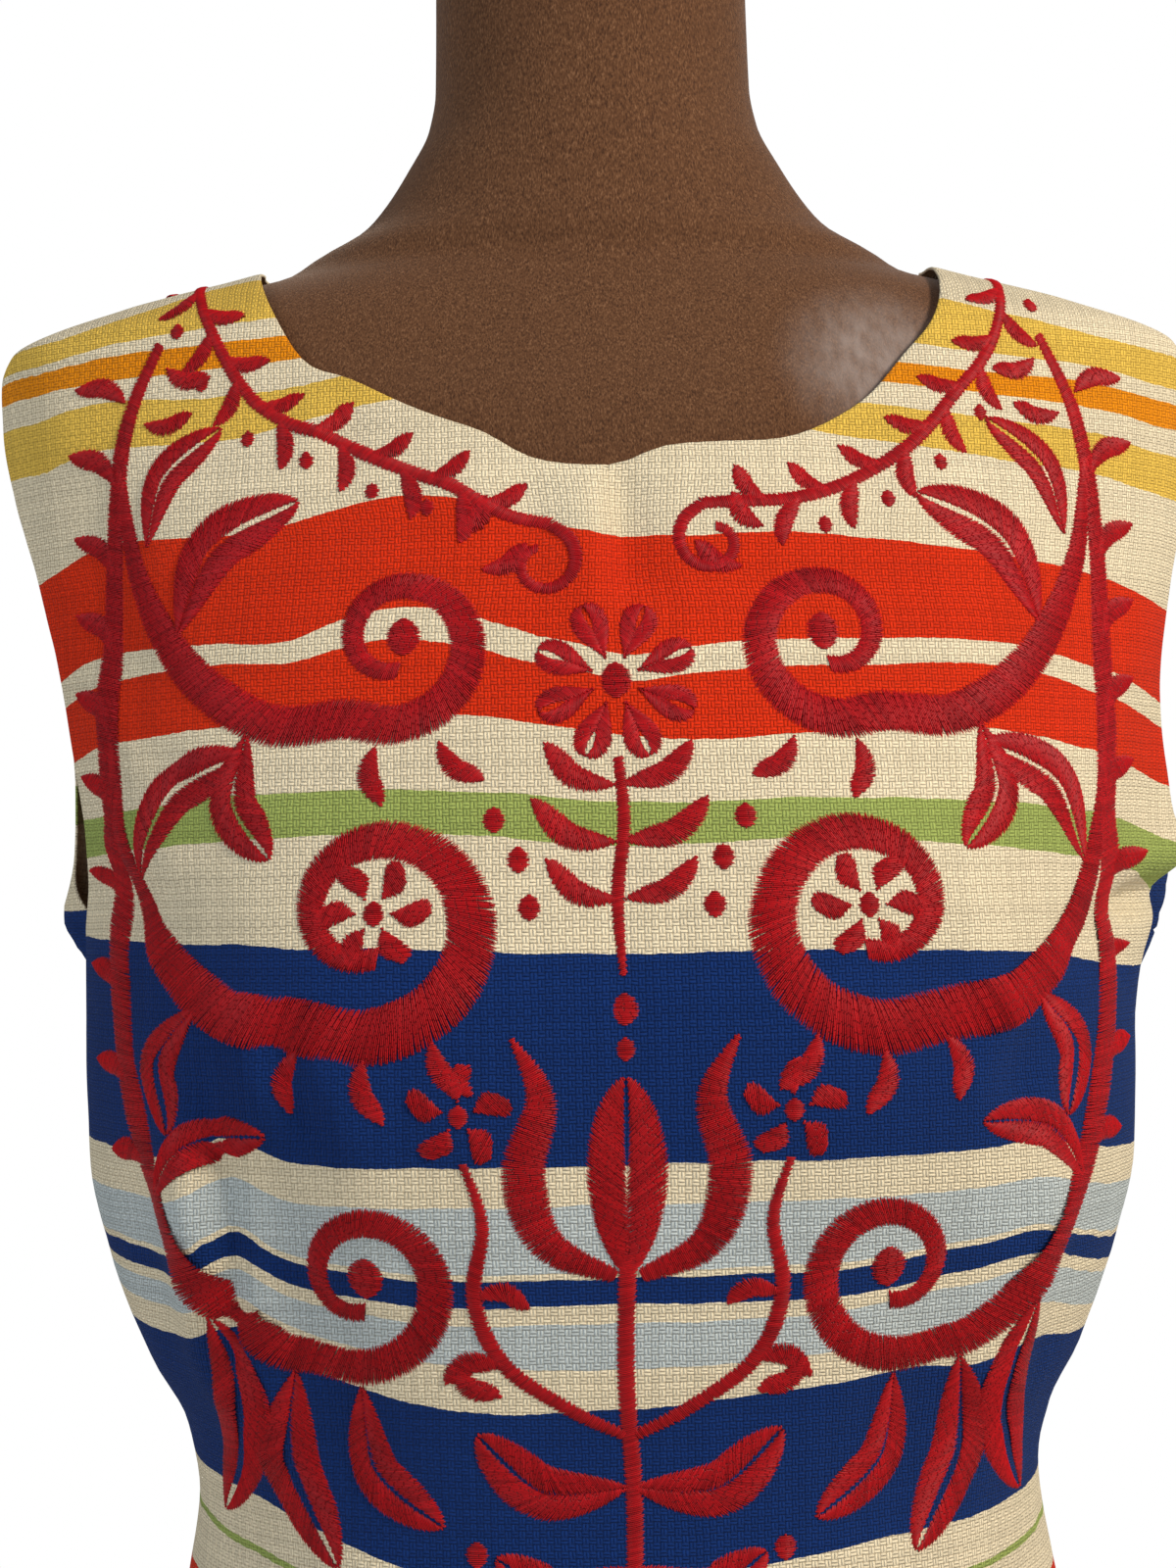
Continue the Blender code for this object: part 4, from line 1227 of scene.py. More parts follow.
def smoothed(piece, sharpFrom):
    piece.data.shade_smooth()
    piece.data.set_sharp_from_angle(angle=math.radians(sharpFrom))
    return piece


# Hides the node that the piece stands for, puts the piece on the body that it rides on, and prints its count
# of faces
def declared(piece, node=None, body="dress_on_form"):
    if node:
        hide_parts(node)
    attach(piece, body)
    print(piece.name, len(piece.data.polygons), "faces")
    return piece


def clothPiece(name, node, face, sides, halfGap):
    data = weldedPanel(name, face, sides, halfGap)
    curlEdges(data)
    piece = linkObject(name, data, "dressCloth", "wrongSide")
    addWall(piece, dressShape["clothWall"], -1).material_offset = 1
    baked(piece).data.shade_smooth()
    return declared(piece, node)


# Half the gap at the centre back: the zip's slot, and a closed seam below its end
def backHalfGap(height):
    opening = smoothStep((height - dressShape["zipEnd"]) / dressShape["zipEndTaper"])
    return (dressShape["centreGap"] + opening * (dressShape["zipSlot"] - dressShape["centreGap"])) / 2


frontCloth = clothPiece("front_cloth", "front", front, (left, right), lambda height: 0.0)
backLeftCloth = clothPiece("back_left_cloth", "back_left", back, (left,), backHalfGap)
backRightCloth = clothPiece("back_right_cloth", "back_right", back, (right,), backHalfGap)

# Embroidery: a spray of scrolls, leaves and flowers down each side, a vine under the neckline
# and an upright flower at the waist. Places are x and height in metres, on the +X side.
embroidery = {
    "lineStep": 0.0010,
    "stitchSpacing": 0.00056,
    "threadWidth": 0.00060,
    "lengthJitter": 0.02,
    "toothStitches": 3,
    "toothDepth": 0.00110,
    "toothChance": (0.3, 1.2),
    "threadWidths": (0.85, 1.2),
    "threadTints": (0.42, 0.78),
    "slantJitter": 2.0,
    "lift": 0.00015,
    "padding": 0.00042,
    "paddingPerWidth": 0.022,
    "leafSlant": 26.0,
    "bigLeaf": 0.0095,
    "bigLeafSlant": 38.0,
    "halfLeafAside": 0.51,
    "halfLeafShare": 0.545,
    "sprig": (0.0078, 0.15),
    "berry": 0.0036,
}
# The vine at the neckline: how far below it, its stem's widths, leaves and berries
vine = {
    "distance": 0.021,
    "ends": (0.08, 0.985),
    "steps": 60,
    "stem": (0.0036, 0.0052, 0.0038),
    "curlAt": (0.005, -0.0125),
    "curlRadii": (0.0125, 0.0050),
    "firstLeaf": 0.021,
    "leafStep": 0.0105,
    "leafWidth": 0.0070,
    "leafBend": 0.12,
    "leafReach": (0.0145, -0.0125),
    "leafBack": 0.009,
    "berryReach": 0.0105,
    "berryAhead": 0.006,
    "berry": 0.0026,
}


def alongCurve(points):
    line = []
    ends = [points[0], *points, points[-1]]
    for a, b, c, d in zip(ends, ends[1:], ends[2:], ends[3:]):
        parts = max(2, int(math.dist(b, c) / embroidery["lineStep"]))
        for t in (index / parts for index in range(parts)):
            line.append(tuple(
                q + 0.5 * t * (r - p + t * (2 * p - 5 * q + 4 * r - s + t * (3 * (q - r) + s - p)))
                for p, q, r, s in zip(a, b, c, d)
            ))
    return line + [points[-1]]


def curl(centre, outer, inner, start, turn, steps=14):
    found = []
    for part in spread(0.0, 1.0, steps):
        angle = math.radians(start + turn * part)
        radius = outer + (inner - outer) * part**0.85
        found.append((centre[0] + radius * math.cos(angle), centre[1] + radius * math.sin(angle)))
    return found


# One column of stitches along a line, of a width that changes with the part of its length
def addColumn(columns, line, width, slant=10.0, aside=0.0):
    lengths = [0.0]
    for a, b in zip(line, line[1:]):
        lengths.append(lengths[-1] + math.dist(a, b))
    places, halves = [], []
    for index, (x, up) in enumerate(line):
        before, after = line[max(0, index - 1)], line[min(len(line) - 1, index + 1)]
        run = math.dist(before, after) or 1.0
        half = width(lengths[index] / lengths[-1]) / 2
        offX, offUp = (after[1] - before[1]) / run, (before[0] - after[0]) / run
        places.append((x + offX * half * aside, up + offUp * half * aside))
        halves.append(half * embroidery["halfLeafShare"] if aside else half)
    columns.append((places, halves, slant))


def addStroke(columns, points, start, middle, end, slant=12.0, peak=0.5):
    def width(part):
        if part < peak:
            return start + (middle - start) * math.sin(part / peak * math.pi / 2)
        return middle + (end - middle) * (1 - math.cos((part - peak) / (1 - peak) * math.pi / 2))

    addColumn(columns, alongCurve(points), width, slant)


# A small leaf is one column, and a big one two that meet at its vein
def addLeaf(columns, base, tip, width, bend=0.16, fullAt=1.15):
    runX, runUp = tip[0] - base[0], tip[1] - base[1]
    middle = (base[0] + runX / 2 - runUp * bend, base[1] + runUp / 2 + runX * bend)
    line = alongCurve([base, middle, tip])

    def shape(part):
        return width * max(0.10, math.sin(math.pi * min(1.0, part) ** fullAt) ** 0.62)

    if width < embroidery["bigLeaf"]:
        addColumn(columns, line, shape, embroidery["leafSlant"])
    else:
        slant, aside = embroidery["bigLeafSlant"], embroidery["halfLeafAside"]
        for way in (1, -1):
            addColumn(columns, line, shape, way * slant, way * aside)


def addDot(columns, centre, radius):
    line = [(centre[0], centre[1] + radius * (part / 6 - 1)) for part in range(13)]
    addColumn(columns, line, lambda part: 2 * radius * math.sqrt(max(0.06, 1 - (2 * part - 1) ** 2)), 0.0)


def addFlower(columns, centre, radius, petals, turn, width):
    for index in range(petals):
        angle = math.radians(turn + 360 * index / petals)
        near, far = (
            (centre[0] + reach * math.cos(angle), centre[1] + reach * math.sin(angle))
            for reach in (radius * 0.30, radius)
        )
        addLeaf(columns, near, far, width, 0.0, 1.6)
    addDot(columns, centre, radius * 0.21)


def sideSpray():
    found = []
    main = [(0.146, 1.366), (0.156, 1.338), (0.1610, 1.296), (0.1605, 1.250), (0.1575, 1.206)]
    main += [(0.1545, 1.162), (0.148, 1.120), (0.132, 1.078), (0.109, 1.050)]
    main += curl((0.078, 1.069), 0.0290, 0.0095, -58, -395)
    addStroke(found, main, 0.0046, 0.0150, 0.0062, 20.0, 0.56)
    addDot(found, (0.0765, 1.0700), 0.0058)
    upper = [(0.1585, 1.322), (0.152, 1.288), (0.134, 1.256), (0.107, 1.236)]
    upper += curl((0.066, 1.260), 0.0285, 0.0095, -58, -395)
    addStroke(found, upper, 0.0040, 0.0140, 0.0060, 20.0, 0.44)
    addDot(found, (0.0640, 1.2610), 0.0056)
    middle = [(0.1590, 1.236), (0.154, 1.204), (0.141, 1.172), (0.117, 1.150)]
    middle += curl((0.072, 1.176), 0.0375, 0.0120, -58, -400)
    addStroke(found, middle, 0.0040, 0.0170, 0.0068, 20.0, 0.44)
    addFlower(found, (0.0715, 1.1770), 0.0165, 6, 0, 0.0090)
    for base, tip, width, bend in [
        ((0.136, 1.266), (0.098, 1.307), 0.0200, -0.18),
        ((0.148, 1.296), (0.124, 1.334), 0.0140, -0.16),
        ((0.112, 1.232), (0.103, 1.194), 0.0160, 0.20),
        ((0.146, 1.190), (0.113, 1.226), 0.0180, -0.20),
        ((0.124, 1.150), (0.133, 1.112), 0.0150, 0.22),
        ((0.139, 1.092), (0.104, 1.112), 0.0140, -0.20),
        ((0.122, 1.056), (0.126, 0.990), 0.0190, -0.14),
        ((0.100, 1.040), (0.088, 0.980), 0.0190, 0.12),
        ((0.080, 1.036), (0.056, 0.994), 0.0160, 0.20),
    ]:
        addLeaf(found, base, tip, width, bend)
    for base, tip in [
        ((0.157, 1.346), (0.175, 1.353)), ((0.160, 1.318), (0.1765, 1.330)),
        ((0.1615, 1.288), (0.1760, 1.302)), ((0.1610, 1.262), (0.1745, 1.276)),
        ((0.1590, 1.236), (0.1725, 1.250)), ((0.1570, 1.210), (0.1700, 1.223)),
        ((0.1555, 1.182), (0.1685, 1.193)), ((0.1535, 1.154), (0.1670, 1.163)),
        ((0.1500, 1.126), (0.1640, 1.133)), ((0.1440, 1.102), (0.1580, 1.105)),
        ((0.143, 1.357), (0.128, 1.352)), ((0.150, 1.338), (0.134, 1.340)),
        ((0.055, 1.140), (0.044, 1.124)), ((0.074, 1.135), (0.069, 1.116)),
        ((0.093, 1.138), (0.096, 1.119)), ((0.053, 1.228), (0.040, 1.216)),
        ((0.072, 1.227), (0.070, 1.209)), ((0.052, 1.044), (0.038, 1.034)),
        ((0.040, 1.282), (0.026, 1.290)), ((0.047, 1.295), (0.038, 1.306)),
    ]:
        addLeaf(found, base, tip, *embroidery["sprig"])
    for place in [
        (0.037, 1.204), (0.030, 1.192), (0.027, 1.178), (0.046, 0.986), (0.055, 0.975), (0.066, 0.968),
    ]:
        addDot(found, place, embroidery["berry"])
    return found


# A vine that follows the neckline, with a leaf and a berry by turns, and a curl at its end
def neckVine(side):
    places = [neckPlace(side, front, 0.0, part) for part in spread(*vine["ends"], vine["steps"])]
    stem, outward = [], []
    for (xA, upA), (x, up), (xB, upB) in zip(places, places[1:], places[2:]):
        run = math.dist((xA, upA), (xB, upB))
        offX, offUp = (upB - upA) / run, (xA - xB) / run
        outward.append((offX, offUp))
        stem.append((x + offX * vine["distance"], up + offUp * vine["distance"]))
    found = []
    curlX, curlUp = vine["curlAt"]
    curlCentre = (stem[0][0] + curlX, stem[0][1] + curlUp)
    addStroke(found, stem[::-3] + curl(curlCentre, *vine["curlRadii"], 105, 330, 10), *vine["stem"])
    travelled, leafNext = 0.0, vine["firstLeaf"]
    for index in range(1, len(stem) - 3):
        travelled += math.dist(stem[index - 1], stem[index])
        if travelled < leafNext:
            continue
        leafNext += vine["leafStep"]
        (x, up), (offX, offUp) = stem[index], outward[index]
        aheadX, aheadUp = -offUp, offX  # towards the centre
        inwards = round(leafNext / vine["leafStep"]) % 2
        reach, behind = vine["leafReach"][inwards], vine["leafBack"]
        tip = (x + offX * reach - aheadX * behind, up + offUp * reach - aheadUp * behind)
        addLeaf(found, (x, up), tip, vine["leafWidth"], vine["leafBend"] if inwards else -vine["leafBend"])
        if not inwards:
            reach, ahead = vine["berryReach"], vine["berryAhead"]
            place = (x + offX * reach + aheadX * ahead, up + offUp * reach + aheadUp * ahead)
            addDot(found, place, vine["berry"])
    return found


def centreSpray():
    found = []
    addFlower(found, (0.0, 1.246), 0.0250, 8, 22.5, 0.0112)
    addStroke(found, [(0.0, 1.222), (0.0012, 1.203), (-0.0012, 1.180), (0.0, 1.158)], 0.0036, 0.0046, 0.0024)
    addDot(found, (0.0, 1.148), 0.0044)
    addDot(found, (0.0, 1.1365), 0.0032)
    addLeaf(found, (0.0, 1.070), (0.0, 1.128), 0.0230, 0.0, 1.0)
    stem = [(0.0, 0.950), (0.001, 1.000), (-0.001, 1.040), (0.0, 1.076)]
    addStroke(found, stem, 0.0048, 0.0056, 0.0060)
    for side in (left, right):
        for up, reach, rise, width in [
            (1.214, 0.022, 0.013, 0.0085), (1.197, 0.026, 0.013, 0.0090), (1.180, 0.022, 0.012, 0.0080),
        ]:
            addLeaf(found, (side * 0.001, up), (side * reach, up + rise), width, side * -0.16)
        petal = [(0.004, 1.070), (0.0235, 1.080), (0.0300, 1.101), (0.0245, 1.122), (0.0325, 1.140)]
        branch = [
            (0.002, 1.022), (0.018, 1.030), (0.037, 1.044), (0.045, 1.064), (0.042, 1.086), (0.047, 1.104),
        ]
        addStroke(found, [(side * x, up) for x, up in petal], 0.0050, 0.0135, 0.0018, 0.45)
        addStroke(found, [(side * x, up) for x, up in branch], 0.0038, 0.0054, 0.0026, side * 12.0)
        addFlower(found, (side * 0.0480, 1.1180), 0.0150, 5, 90, 0.0092)
        for base, tip, width, bend in [
            ((0.037, 1.044), (0.054, 1.038), 0.0080, 0.2),
            ((0.0445, 1.064), (0.029, 1.061), 0.0070, -0.2),
            ((0.001, 1.006), (0.045, 1.022), 0.0170, -0.2),
            ((0.001, 0.982), (0.040, 0.985), 0.0160, -0.25),
        ]:
            addLeaf(found, (side * base[0], base[1]), (side * tip[0], tip[1]), width, side * bend)
    return found


# One stitch: a low three-sided arch of thread along Y, 1 wide, from -1 to 1, 1 high
def strandMesh():
    belowMiddle, ridgeAbove = 0.30, 0.42
    points, faces = [], []
    for y, z, width in [
        (-1.0, -0.60, 0.65), (-0.70, 0.50, 1.0), (0.0, 0.85, 1.0), (0.70, 0.50, 1.0), (1.0, -0.60, 0.65),
    ]:
        points += [(-0.5 * width, y, z - belowMiddle), (0.5 * width, y, z - belowMiddle)]
        points.append((0.0, y, z + ridgeAbove))
    for ring in range(0, len(points) - 3, 3):
        for a, b in ((1, 2), (2, 0)):
            faces.append((ring + a, ring + b, ring + 3 + b, ring + 3 + a))
    # ridge marks the top of each strand, where the thread material paints a highlight, and its sides, where
    # it paints shade
    ridge = [1.0 if index % 3 == 2 else 0.0 for index in range(len(points))]
    numbers = {"ridge": ridge, "alongStitch": [point[1] for point in points]}
    data = newMesh("strand", points, [], [face[::-1] for face in faces], numbers)
    data.shade_smooth()
    return data


# Satin stitches across the guide lines, each a strand laid from edge to edge
def buildStitchTree(strand):
    tree, given = newGroup(
        "satinStitches",
        "GeometryNodeTree",
        [
            ("Guides", "Geometry", None),
            ("Spacing", "Float", 0.0004),
            ("Thread width", "Float", 0.0005),
            ("Length jitter", "Float", 0.1),
            ("Tooth depth", "Float", 0.0005),
            ("Slant jitter", "Float", 3.0),
            ("Turn", "Float", 0.0),
            ("Seed", "Int", 1),
            ("Thread", "Material", None),
        ],
        [("Stitches", "Geometry")],
    )

    def add(kind, inputs=(), output=0, **settings):
        return addNode(tree, kind, inputs, **settings).outputs[output]

    def named(name, kind="FLOAT"):
        return add("GeometryNodeInputNamedAttribute", {"Name": name}, data_type=kind)

    def chance(low, high, offset):
        seed = maths(tree, "ADD", given["Seed"], float(offset))
        return add("FunctionNodeRandomValue", {2: low, 3: high, "Seed": seed}, 1, data_type="FLOAT")

    def stored(geometry, name, value):
        inputs = {"Geometry": geometry, "Name": name, "Value": value}
        return add("GeometryNodeStoreNamedAttribute", inputs, data_type="FLOAT", domain="INSTANCE")

    curves = add("GeometryNodeMeshToCurve", {"Mesh": given["Guides"]})
    evenly = {"Curve": curves, "Length": given["Spacing"]}
    even = add("GeometryNodeResampleCurve", evenly, mode="LENGTH")
    index = add("GeometryNodeInputIndex")
    axes = {0: named("outward", "FLOAT_VECTOR"), 1: add("GeometryNodeInputTangent")}
    facing = add("FunctionNodeAxesToRotation", axes, primary_axis="Z", secondary_axis="X")
    jitter = maths(tree, "MULTIPLY", given["Slant jitter"], chance(-1.0, 1.0, 0))
    slanted = maths(tree, "RADIANS", maths(tree, "ADD", named("slant"), jitter))
    angle = maths(tree, "ADD", slanted, maths(tree, "RADIANS", given["Turn"]))
    spun = add("FunctionNodeAxisAngleToRotation", {"Axis": (0, 0, 1), "Angle": angle})
    turned = add("FunctionNodeRotateRotation", {0: facing, 1: spun}, rotation_space="LOCAL")
    # the ends of a few stitches in a row step in, tooth by tooth, as on a dense satin edge
    tooth = maths(tree, "DIVIDE", index, float(embroidery["toothStitches"]))
    step = maths(tree, "SUBTRACT", maths(tree, "FRACT", tooth), 0.5)
    least, most = embroidery["toothChance"]
    perTooth = {2: least, 3: most, "ID": maths(tree, "FLOOR", tooth)}
    toothSize = add("FunctionNodeRandomValue", perTooth, 1, data_type="FLOAT")
    step = maths(tree, "MULTIPLY", maths(tree, "MULTIPLY", step, toothSize), given["Tooth depth"])
    longer = maths(tree, "MULTIPLY_ADD", chance(-1.0, 1.0, 1), given["Length jitter"], 1.0)
    slantReach = maths(tree, "DIVIDE", 1.0, maths(tree, "COSINE", slanted))
    reach = maths(tree, "MULTIPLY", maths(tree, "MULTIPLY", named("halfWidth"), slantReach), longer)
    reach = maths(tree, "ADD", reach, step)
    thick = maths(tree, "MULTIPLY", given["Thread width"], chance(*embroidery["threadWidths"], 2))
    size = add("ShaderNodeCombineXYZ", {0: thick, 1: reach, 2: named("padding")})
    shape = add("GeometryNodeObjectInfo", {"Object": strand}, "Geometry")
    laid = {"Points": even, "Instance": shape, "Rotation": turned, "Scale": size}
    stitches = add("GeometryNodeInstanceOnPoints", laid)
    stitches = stored(stitches, "threadTint", chance(*embroidery["threadTints"], 4))
    reachThere = {"Geometry": even, "Value": reach, "Index": index}
    sampled = add("GeometryNodeSampleIndex", reachThere, data_type="FLOAT")
    stitches = stored(stitches, "stitchReach", sampled)
    real = add("GeometryNodeRealizeInstances", {0: stitches})
    finished = add("GeometryNodeSetMaterial", {"Geometry": real, "Material": given["Thread"]})
    return putOut(tree, {"Stitches": finished})


# Edges along the columns, with the stitches' width, slant and padding at each point
def guideMesh(name, columns, placeOn, flip):
    points, edges, halfWidths, slants, outwards, paddings = [], [], [], [], [], []
    for places, halves, slant in columns:
        first = len(points)
        for place, half in zip(places, halves):
            point, outward = placeOn(*place)
            points.append(point + outward * embroidery["lift"])
            outwards += list(outward)
            halfWidths.append(half)
            slants.append(slant * flip)
            paddings.append(embroidery["padding"] + embroidery["paddingPerWidth"] * half)
        edges += [(index, index + 1) for index in range(first, len(points) - 1)]
    numbers = {"halfWidth": halfWidths, "slant": slants, "padding": paddings}
    return newMesh(name, points, edges, [], numbers, outwards)


def useTree(made, tree, inputs):
    modifier = made.modifiers.new(tree.name, "NODES")
    modifier.node_group = tree
    for item in tree.interface.items_tree:
        if item.item_type == "SOCKET" and item.in_out == "INPUT" and item.name in inputs:
            modifier[item.identifier] = inputs[item.name]


satin = {
    "Spacing": embroidery["stitchSpacing"],
    "Thread width": embroidery["threadWidth"],
    "Length jitter": embroidery["lengthJitter"],
    "Tooth depth": embroidery["toothDepth"],
    "Slant jitter": embroidery["slantJitter"],
}
strand = linkObject("strand", strandMesh())
stitchTree = buildStitchTree(strand)


def stitchPiece(name, columns, placeOn, inputs, look, seed, flip=1):
    piece = linkObject(name, guideMesh(name, columns, placeOn, flip), look)
    useTree(piece, stitchTree, {**inputs, "Seed": seed, "Thread": materials[look]})
    baked(piece)
    for title in ("halfWidth", "slant", "padding", "outward"):
        if title in piece.data.attributes:
            piece.data.attributes.remove(piece.data.attributes[title])
    return declared(piece)


def embroider(name, columns, side, seed):
    def place(x, height):
        return frontPlace(side * x, height)

    return stitchPiece(name, columns, place, satin, "embroidery", seed, side)


stitched = [
    embroider("embroidery_left", sideSpray() + neckVine(left), left, 15),
    embroider("embroidery_right", sideSpray() + neckVine(right), right, 16),
    embroider("embroidery_centre", centreSpray(), right, 17),
]

# Sewing that shows: a row of stitches on each side of the zip, and small ones that hold the hem
sewing = {
    "besideZip": 0.0065,
    "zipBottom": 0.945,
    "hemAbove": 0.028,
    "rowStep": 0.004,
    "belowNeck": 0.002,
    "seam": {
        "Spacing": 0.0029, "Thread width": 0.00050, "Length jitter": 0.05, "Tooth depth": 0.0, "Turn": 90.0,
    },
    "seamHalfLength": 0.00115,
    "hem": {
        "Spacing": 0.0085, "Thread width": 0.00042, "Length jitter": 0.15, "Tooth depth": 0.0, "Turn": 70.0,
    },
    "hemHalfLength": 0.0008,
    "hemEnds": (0.02, 0.98),
    "hemSteps": 70,
    "hemSeeds": {(left, front): 23, (left, back): 22, (right, front): 24, (right, back): 23},
    "zipSeed": 13,
}


# A point on the back and its outward normal
def backPlace(x, height):
    side = right if x >= 0 else left
    step = 0.0008
    share = shareAt(abs(x), height)
    here = dressPoint(side, back, share, height)
    beside = dressPoint(side, back, share + step, height)
    above = dressPoint(side, back, share, height + step)
    return here, (above - here).cross(beside - here).normalized() * side


# A point on the dress, by its share and height, and its outward normal
def aroundHem(side, face):
    def place(share, height):
        step = 0.002 if share < 0.5 else -0.002
        here = dressPoint(side, face, share, height)
        beside = dressPoint(side, face, share + step, height)
        above = dressPoint(side, face, share, height + 0.001)
        normal = (beside - here).cross(above - here).normalized()
        return here, normal if normal.dot(Vector((here.x, here.y, 0))) > 0 else -normal

    return place


def evenColumn(line, halfLength):
    return line, [halfLength] * len(line), 0.0


def sewingRows():
    neckTop = dressShape["neckPoint"] - dressShape["neckDrop"][back] - sewing["belowNeck"]
    steps = int((neckTop - sewing["zipBottom"]) / sewing["rowStep"])
    heights = spread(sewing["zipBottom"], neckTop, steps)
    beside, foot = sewing["besideZip"], sewing["zipBottom"]
    lines = [[(side * beside, height) for height in heights] for side in (left, right)]
    lines.append([(x * beside, foot) for x in (-1.0, -0.34, 0.34, 1.0)])
    return [evenColumn(line, sewing["seamHalfLength"]) for line in lines]


stitchPiece(
    "zip_stitching", sewingRows(), backPlace, sewing["seam"], "sewing", sewing["zipSeed"]
)
hemHeight = dressShape["hem"] + sewing["hemAbove"]
hemLine = [(part, hemHeight) for part in spread(*sewing["hemEnds"], sewing["hemSteps"])]
hemRow = evenColumn(hemLine, sewing["hemHalfLength"])
for (side, face), seed in sewing["hemSeeds"].items():
    title = f"hem_stitches_{'front' if face == front else 'back'}_{'left' if side == left else 'right'}"
    stitchPiece(title, [hemRow], aroundHem(side, face), sewing["hem"], "sewing", seed)

# The zip: its coil, slider and pull
zipShape = {
    "coil": {"Spacing": 0.00125, "Thread width": 0.00092, "Length jitter": 0.03, "Tooth depth": 0.0},
    "coilHalfWidth": 0.00125,
    "coilBottom": 0.962,
    "slider": 1.356,
    "sliderDepth": 0.0024,
    "pieceGap": 0.0003,
    "pullDepth": 0.0013,
    "hingeAbove": 0.0041,
    # height above the middle of the slider, and half its width there
    "sliderOutline": [
        (0.0047, 0.0020), (0.0042, 0.0027), (0.0030, 0.0031), (0.0008, 0.0030),
        (-0.0014, 0.0024), (-0.0034, 0.0021), (-0.0043, 0.0019), (-0.0047, 0.0014),
    ],
    # depth below the hinge, half the width of the tab there, and half the width of its hole
    "pullOutline": [
        (-0.0006, 0.0017, 0.0), (-0.0001, 0.0021, 0.0), (0.0007, 0.0022, 0.0011), (0.0034, 0.0021, 0.0011),
        (0.0042, 0.0018, 0.0), (0.0080, 0.0016, 0.0), (0.0120, 0.0018, 0.0), (0.0150, 0.0021, 0.0009),
        (0.0195, 0.0023, 0.0009), (0.0212, 0.0022, 0.0), (0.0228, 0.0017, 0.0), (0.0233, 0.0010, 0.0),
    ],
    "loopRadius": 0.00135,
    "loopHalfWidth": 0.0007,
    "loopWire": 0.0003,
    "loopTurns": (-58.0, 238.0),
    "loopBevel": 0.00012,
    "coilBelowNeck": 0.005,
    "coilSink": 0.0004,
    "coilSteps": 100,
    "coilSeed": 14,
    "sliderBevel": 0.0006,
    "pullPlate": 0.0011,
    "pullBevel": 0.00025,
}


# A matrix on the centre back, clear of the cloth, its own +Y outwards and +Z up along it
def backFrame(height, clear):
    step = 0.002
    low, point, high = (dressPoint(right, back, 0.0, height + change) for change in (-step, 0, step))
    up = (high - low).normalized()
    outward = up.cross(Vector((1, 0, 0))).normalized()
    turned = Matrix((Vector((1, 0, 0)), outward, up)).transposed().to_4x4()
    return Matrix.Translation(point + outward * clear) @ turned


# A flat metal piece from rows of (height, half width, half hole), rounded at its edges
def platePiece(name, rows, depth, bevel, place, node, body):
    points, faces = [], []
    for height, half, hole in rows:
        inner = hole or half * 0.5
        points += [Vector((x, 0, height)) for x in (-half, -inner, 0.0, inner, half)]
    for row, (lower, upper) in enumerate(zip(rows, rows[1:])):
        for column in range(4):
            if column in (1, 2) and lower[2] and upper[2]:
                continue
            start = row * 5 + column
            faces.append((start, start + 1, start + 6, start + 5))
    data = newMesh(name, points, [], faces)
    data.transform(place)
    piece = linkObject(name, data, "zipMetal")
    addWall(piece, depth, 0)
    addRounding(piece, bevel, 3)
    outwardFaces(smoothed(baked(piece), 40).data)
    return declared(piece, node, body)


def outwardFaces(data):
    mesh = bmesh.new()
    mesh.from_mesh(data)
    bmesh.ops.recalc_face_normals(mesh, faces=mesh.faces)
    mesh.to_mesh(data)
    mesh.free()


def makeZip():
    coilTop = dressShape["neckPoint"] - dressShape["neckDrop"][back] - zipShape["coilBelowNeck"]
    line = [(0.0, height) for height in spread(zipShape["coilBottom"], coilTop, zipShape["coilSteps"])]
    coil = [evenColumn(line, zipShape["coilHalfWidth"])]

    def onCoil(_, height):
        place = backFrame(height, -zipShape["coilSink"])
        return place.translation, place.col[1].xyz.normalized()

    seed = zipShape["coilSeed"]
    stitchPiece("zip_coil_teeth", coil, onCoil, zipShape["coil"], "zipNylon", seed)
    depth, gap = zipShape["sliderDepth"], zipShape["pieceGap"]
    sliderRows = [(height, half, 0.0) for height, half in zipShape["sliderOutline"]]
    sliderPlace = backFrame(zipShape["slider"], gap + depth / 2)
    bevel = zipShape["sliderBevel"]
    platePiece("zip_slider_body", sliderRows, depth, bevel, sliderPlace, "zip_slider", "dress_on_form")
    hinge = backFrame(zipShape["slider"], 2 * gap + depth + zipShape["pullDepth"] / 2)
    hinge = hinge @ Matrix.Translation((0, 0, zipShape["hingeAbove"]))
    pullRows = [(-drop, half, hole) for drop, half, hole in zipShape["pullOutline"]]
    plate, bevel = zipShape["pullPlate"], zipShape["pullBevel"]
    platePiece("zip_pull_tab", pullRows, plate, bevel, hinge, "zip_pull", "zip_pull")
    makeLoop(hinge)


# The slider's loop, which holds the top bar of the pull
def makeLoop(hinge):
    points, faces = [], []
    turns = spread(*zipShape["loopTurns"], 20)
    half, wire = zipShape["loopHalfWidth"], zipShape["loopWire"]
    for turn in turns:
        angle = math.radians(turn)
        for radius, x in ((-wire, -half), (-wire, half), (wire, half), (wire, -half)):
            reach = zipShape["loopRadius"] + radius
            points.append(hinge @ Vector((x, reach * math.sin(angle), reach * math.cos(angle))))
    for row in range(len(turns) - 1):
        for column in range(4):
            start, after = row * 4 + column, row * 4 + (column + 1) % 4
            faces.append((start, after, after + 4, start + 4))
    faces += [(3, 2, 1, 0), tuple(len(points) - 4 + corner for corner in range(4))]
    data = newMesh("zip_slider_loop", points, [], faces)
    outwardFaces(data)
    loop = linkObject("zip_slider_loop", data, "zipMetal")
    addRounding(loop, zipShape["loopBevel"], 2).angle_limit = math.radians(50)
    declared(smoothed(baked(loop), 45))


makeZip()
print("zip and sewing are made")

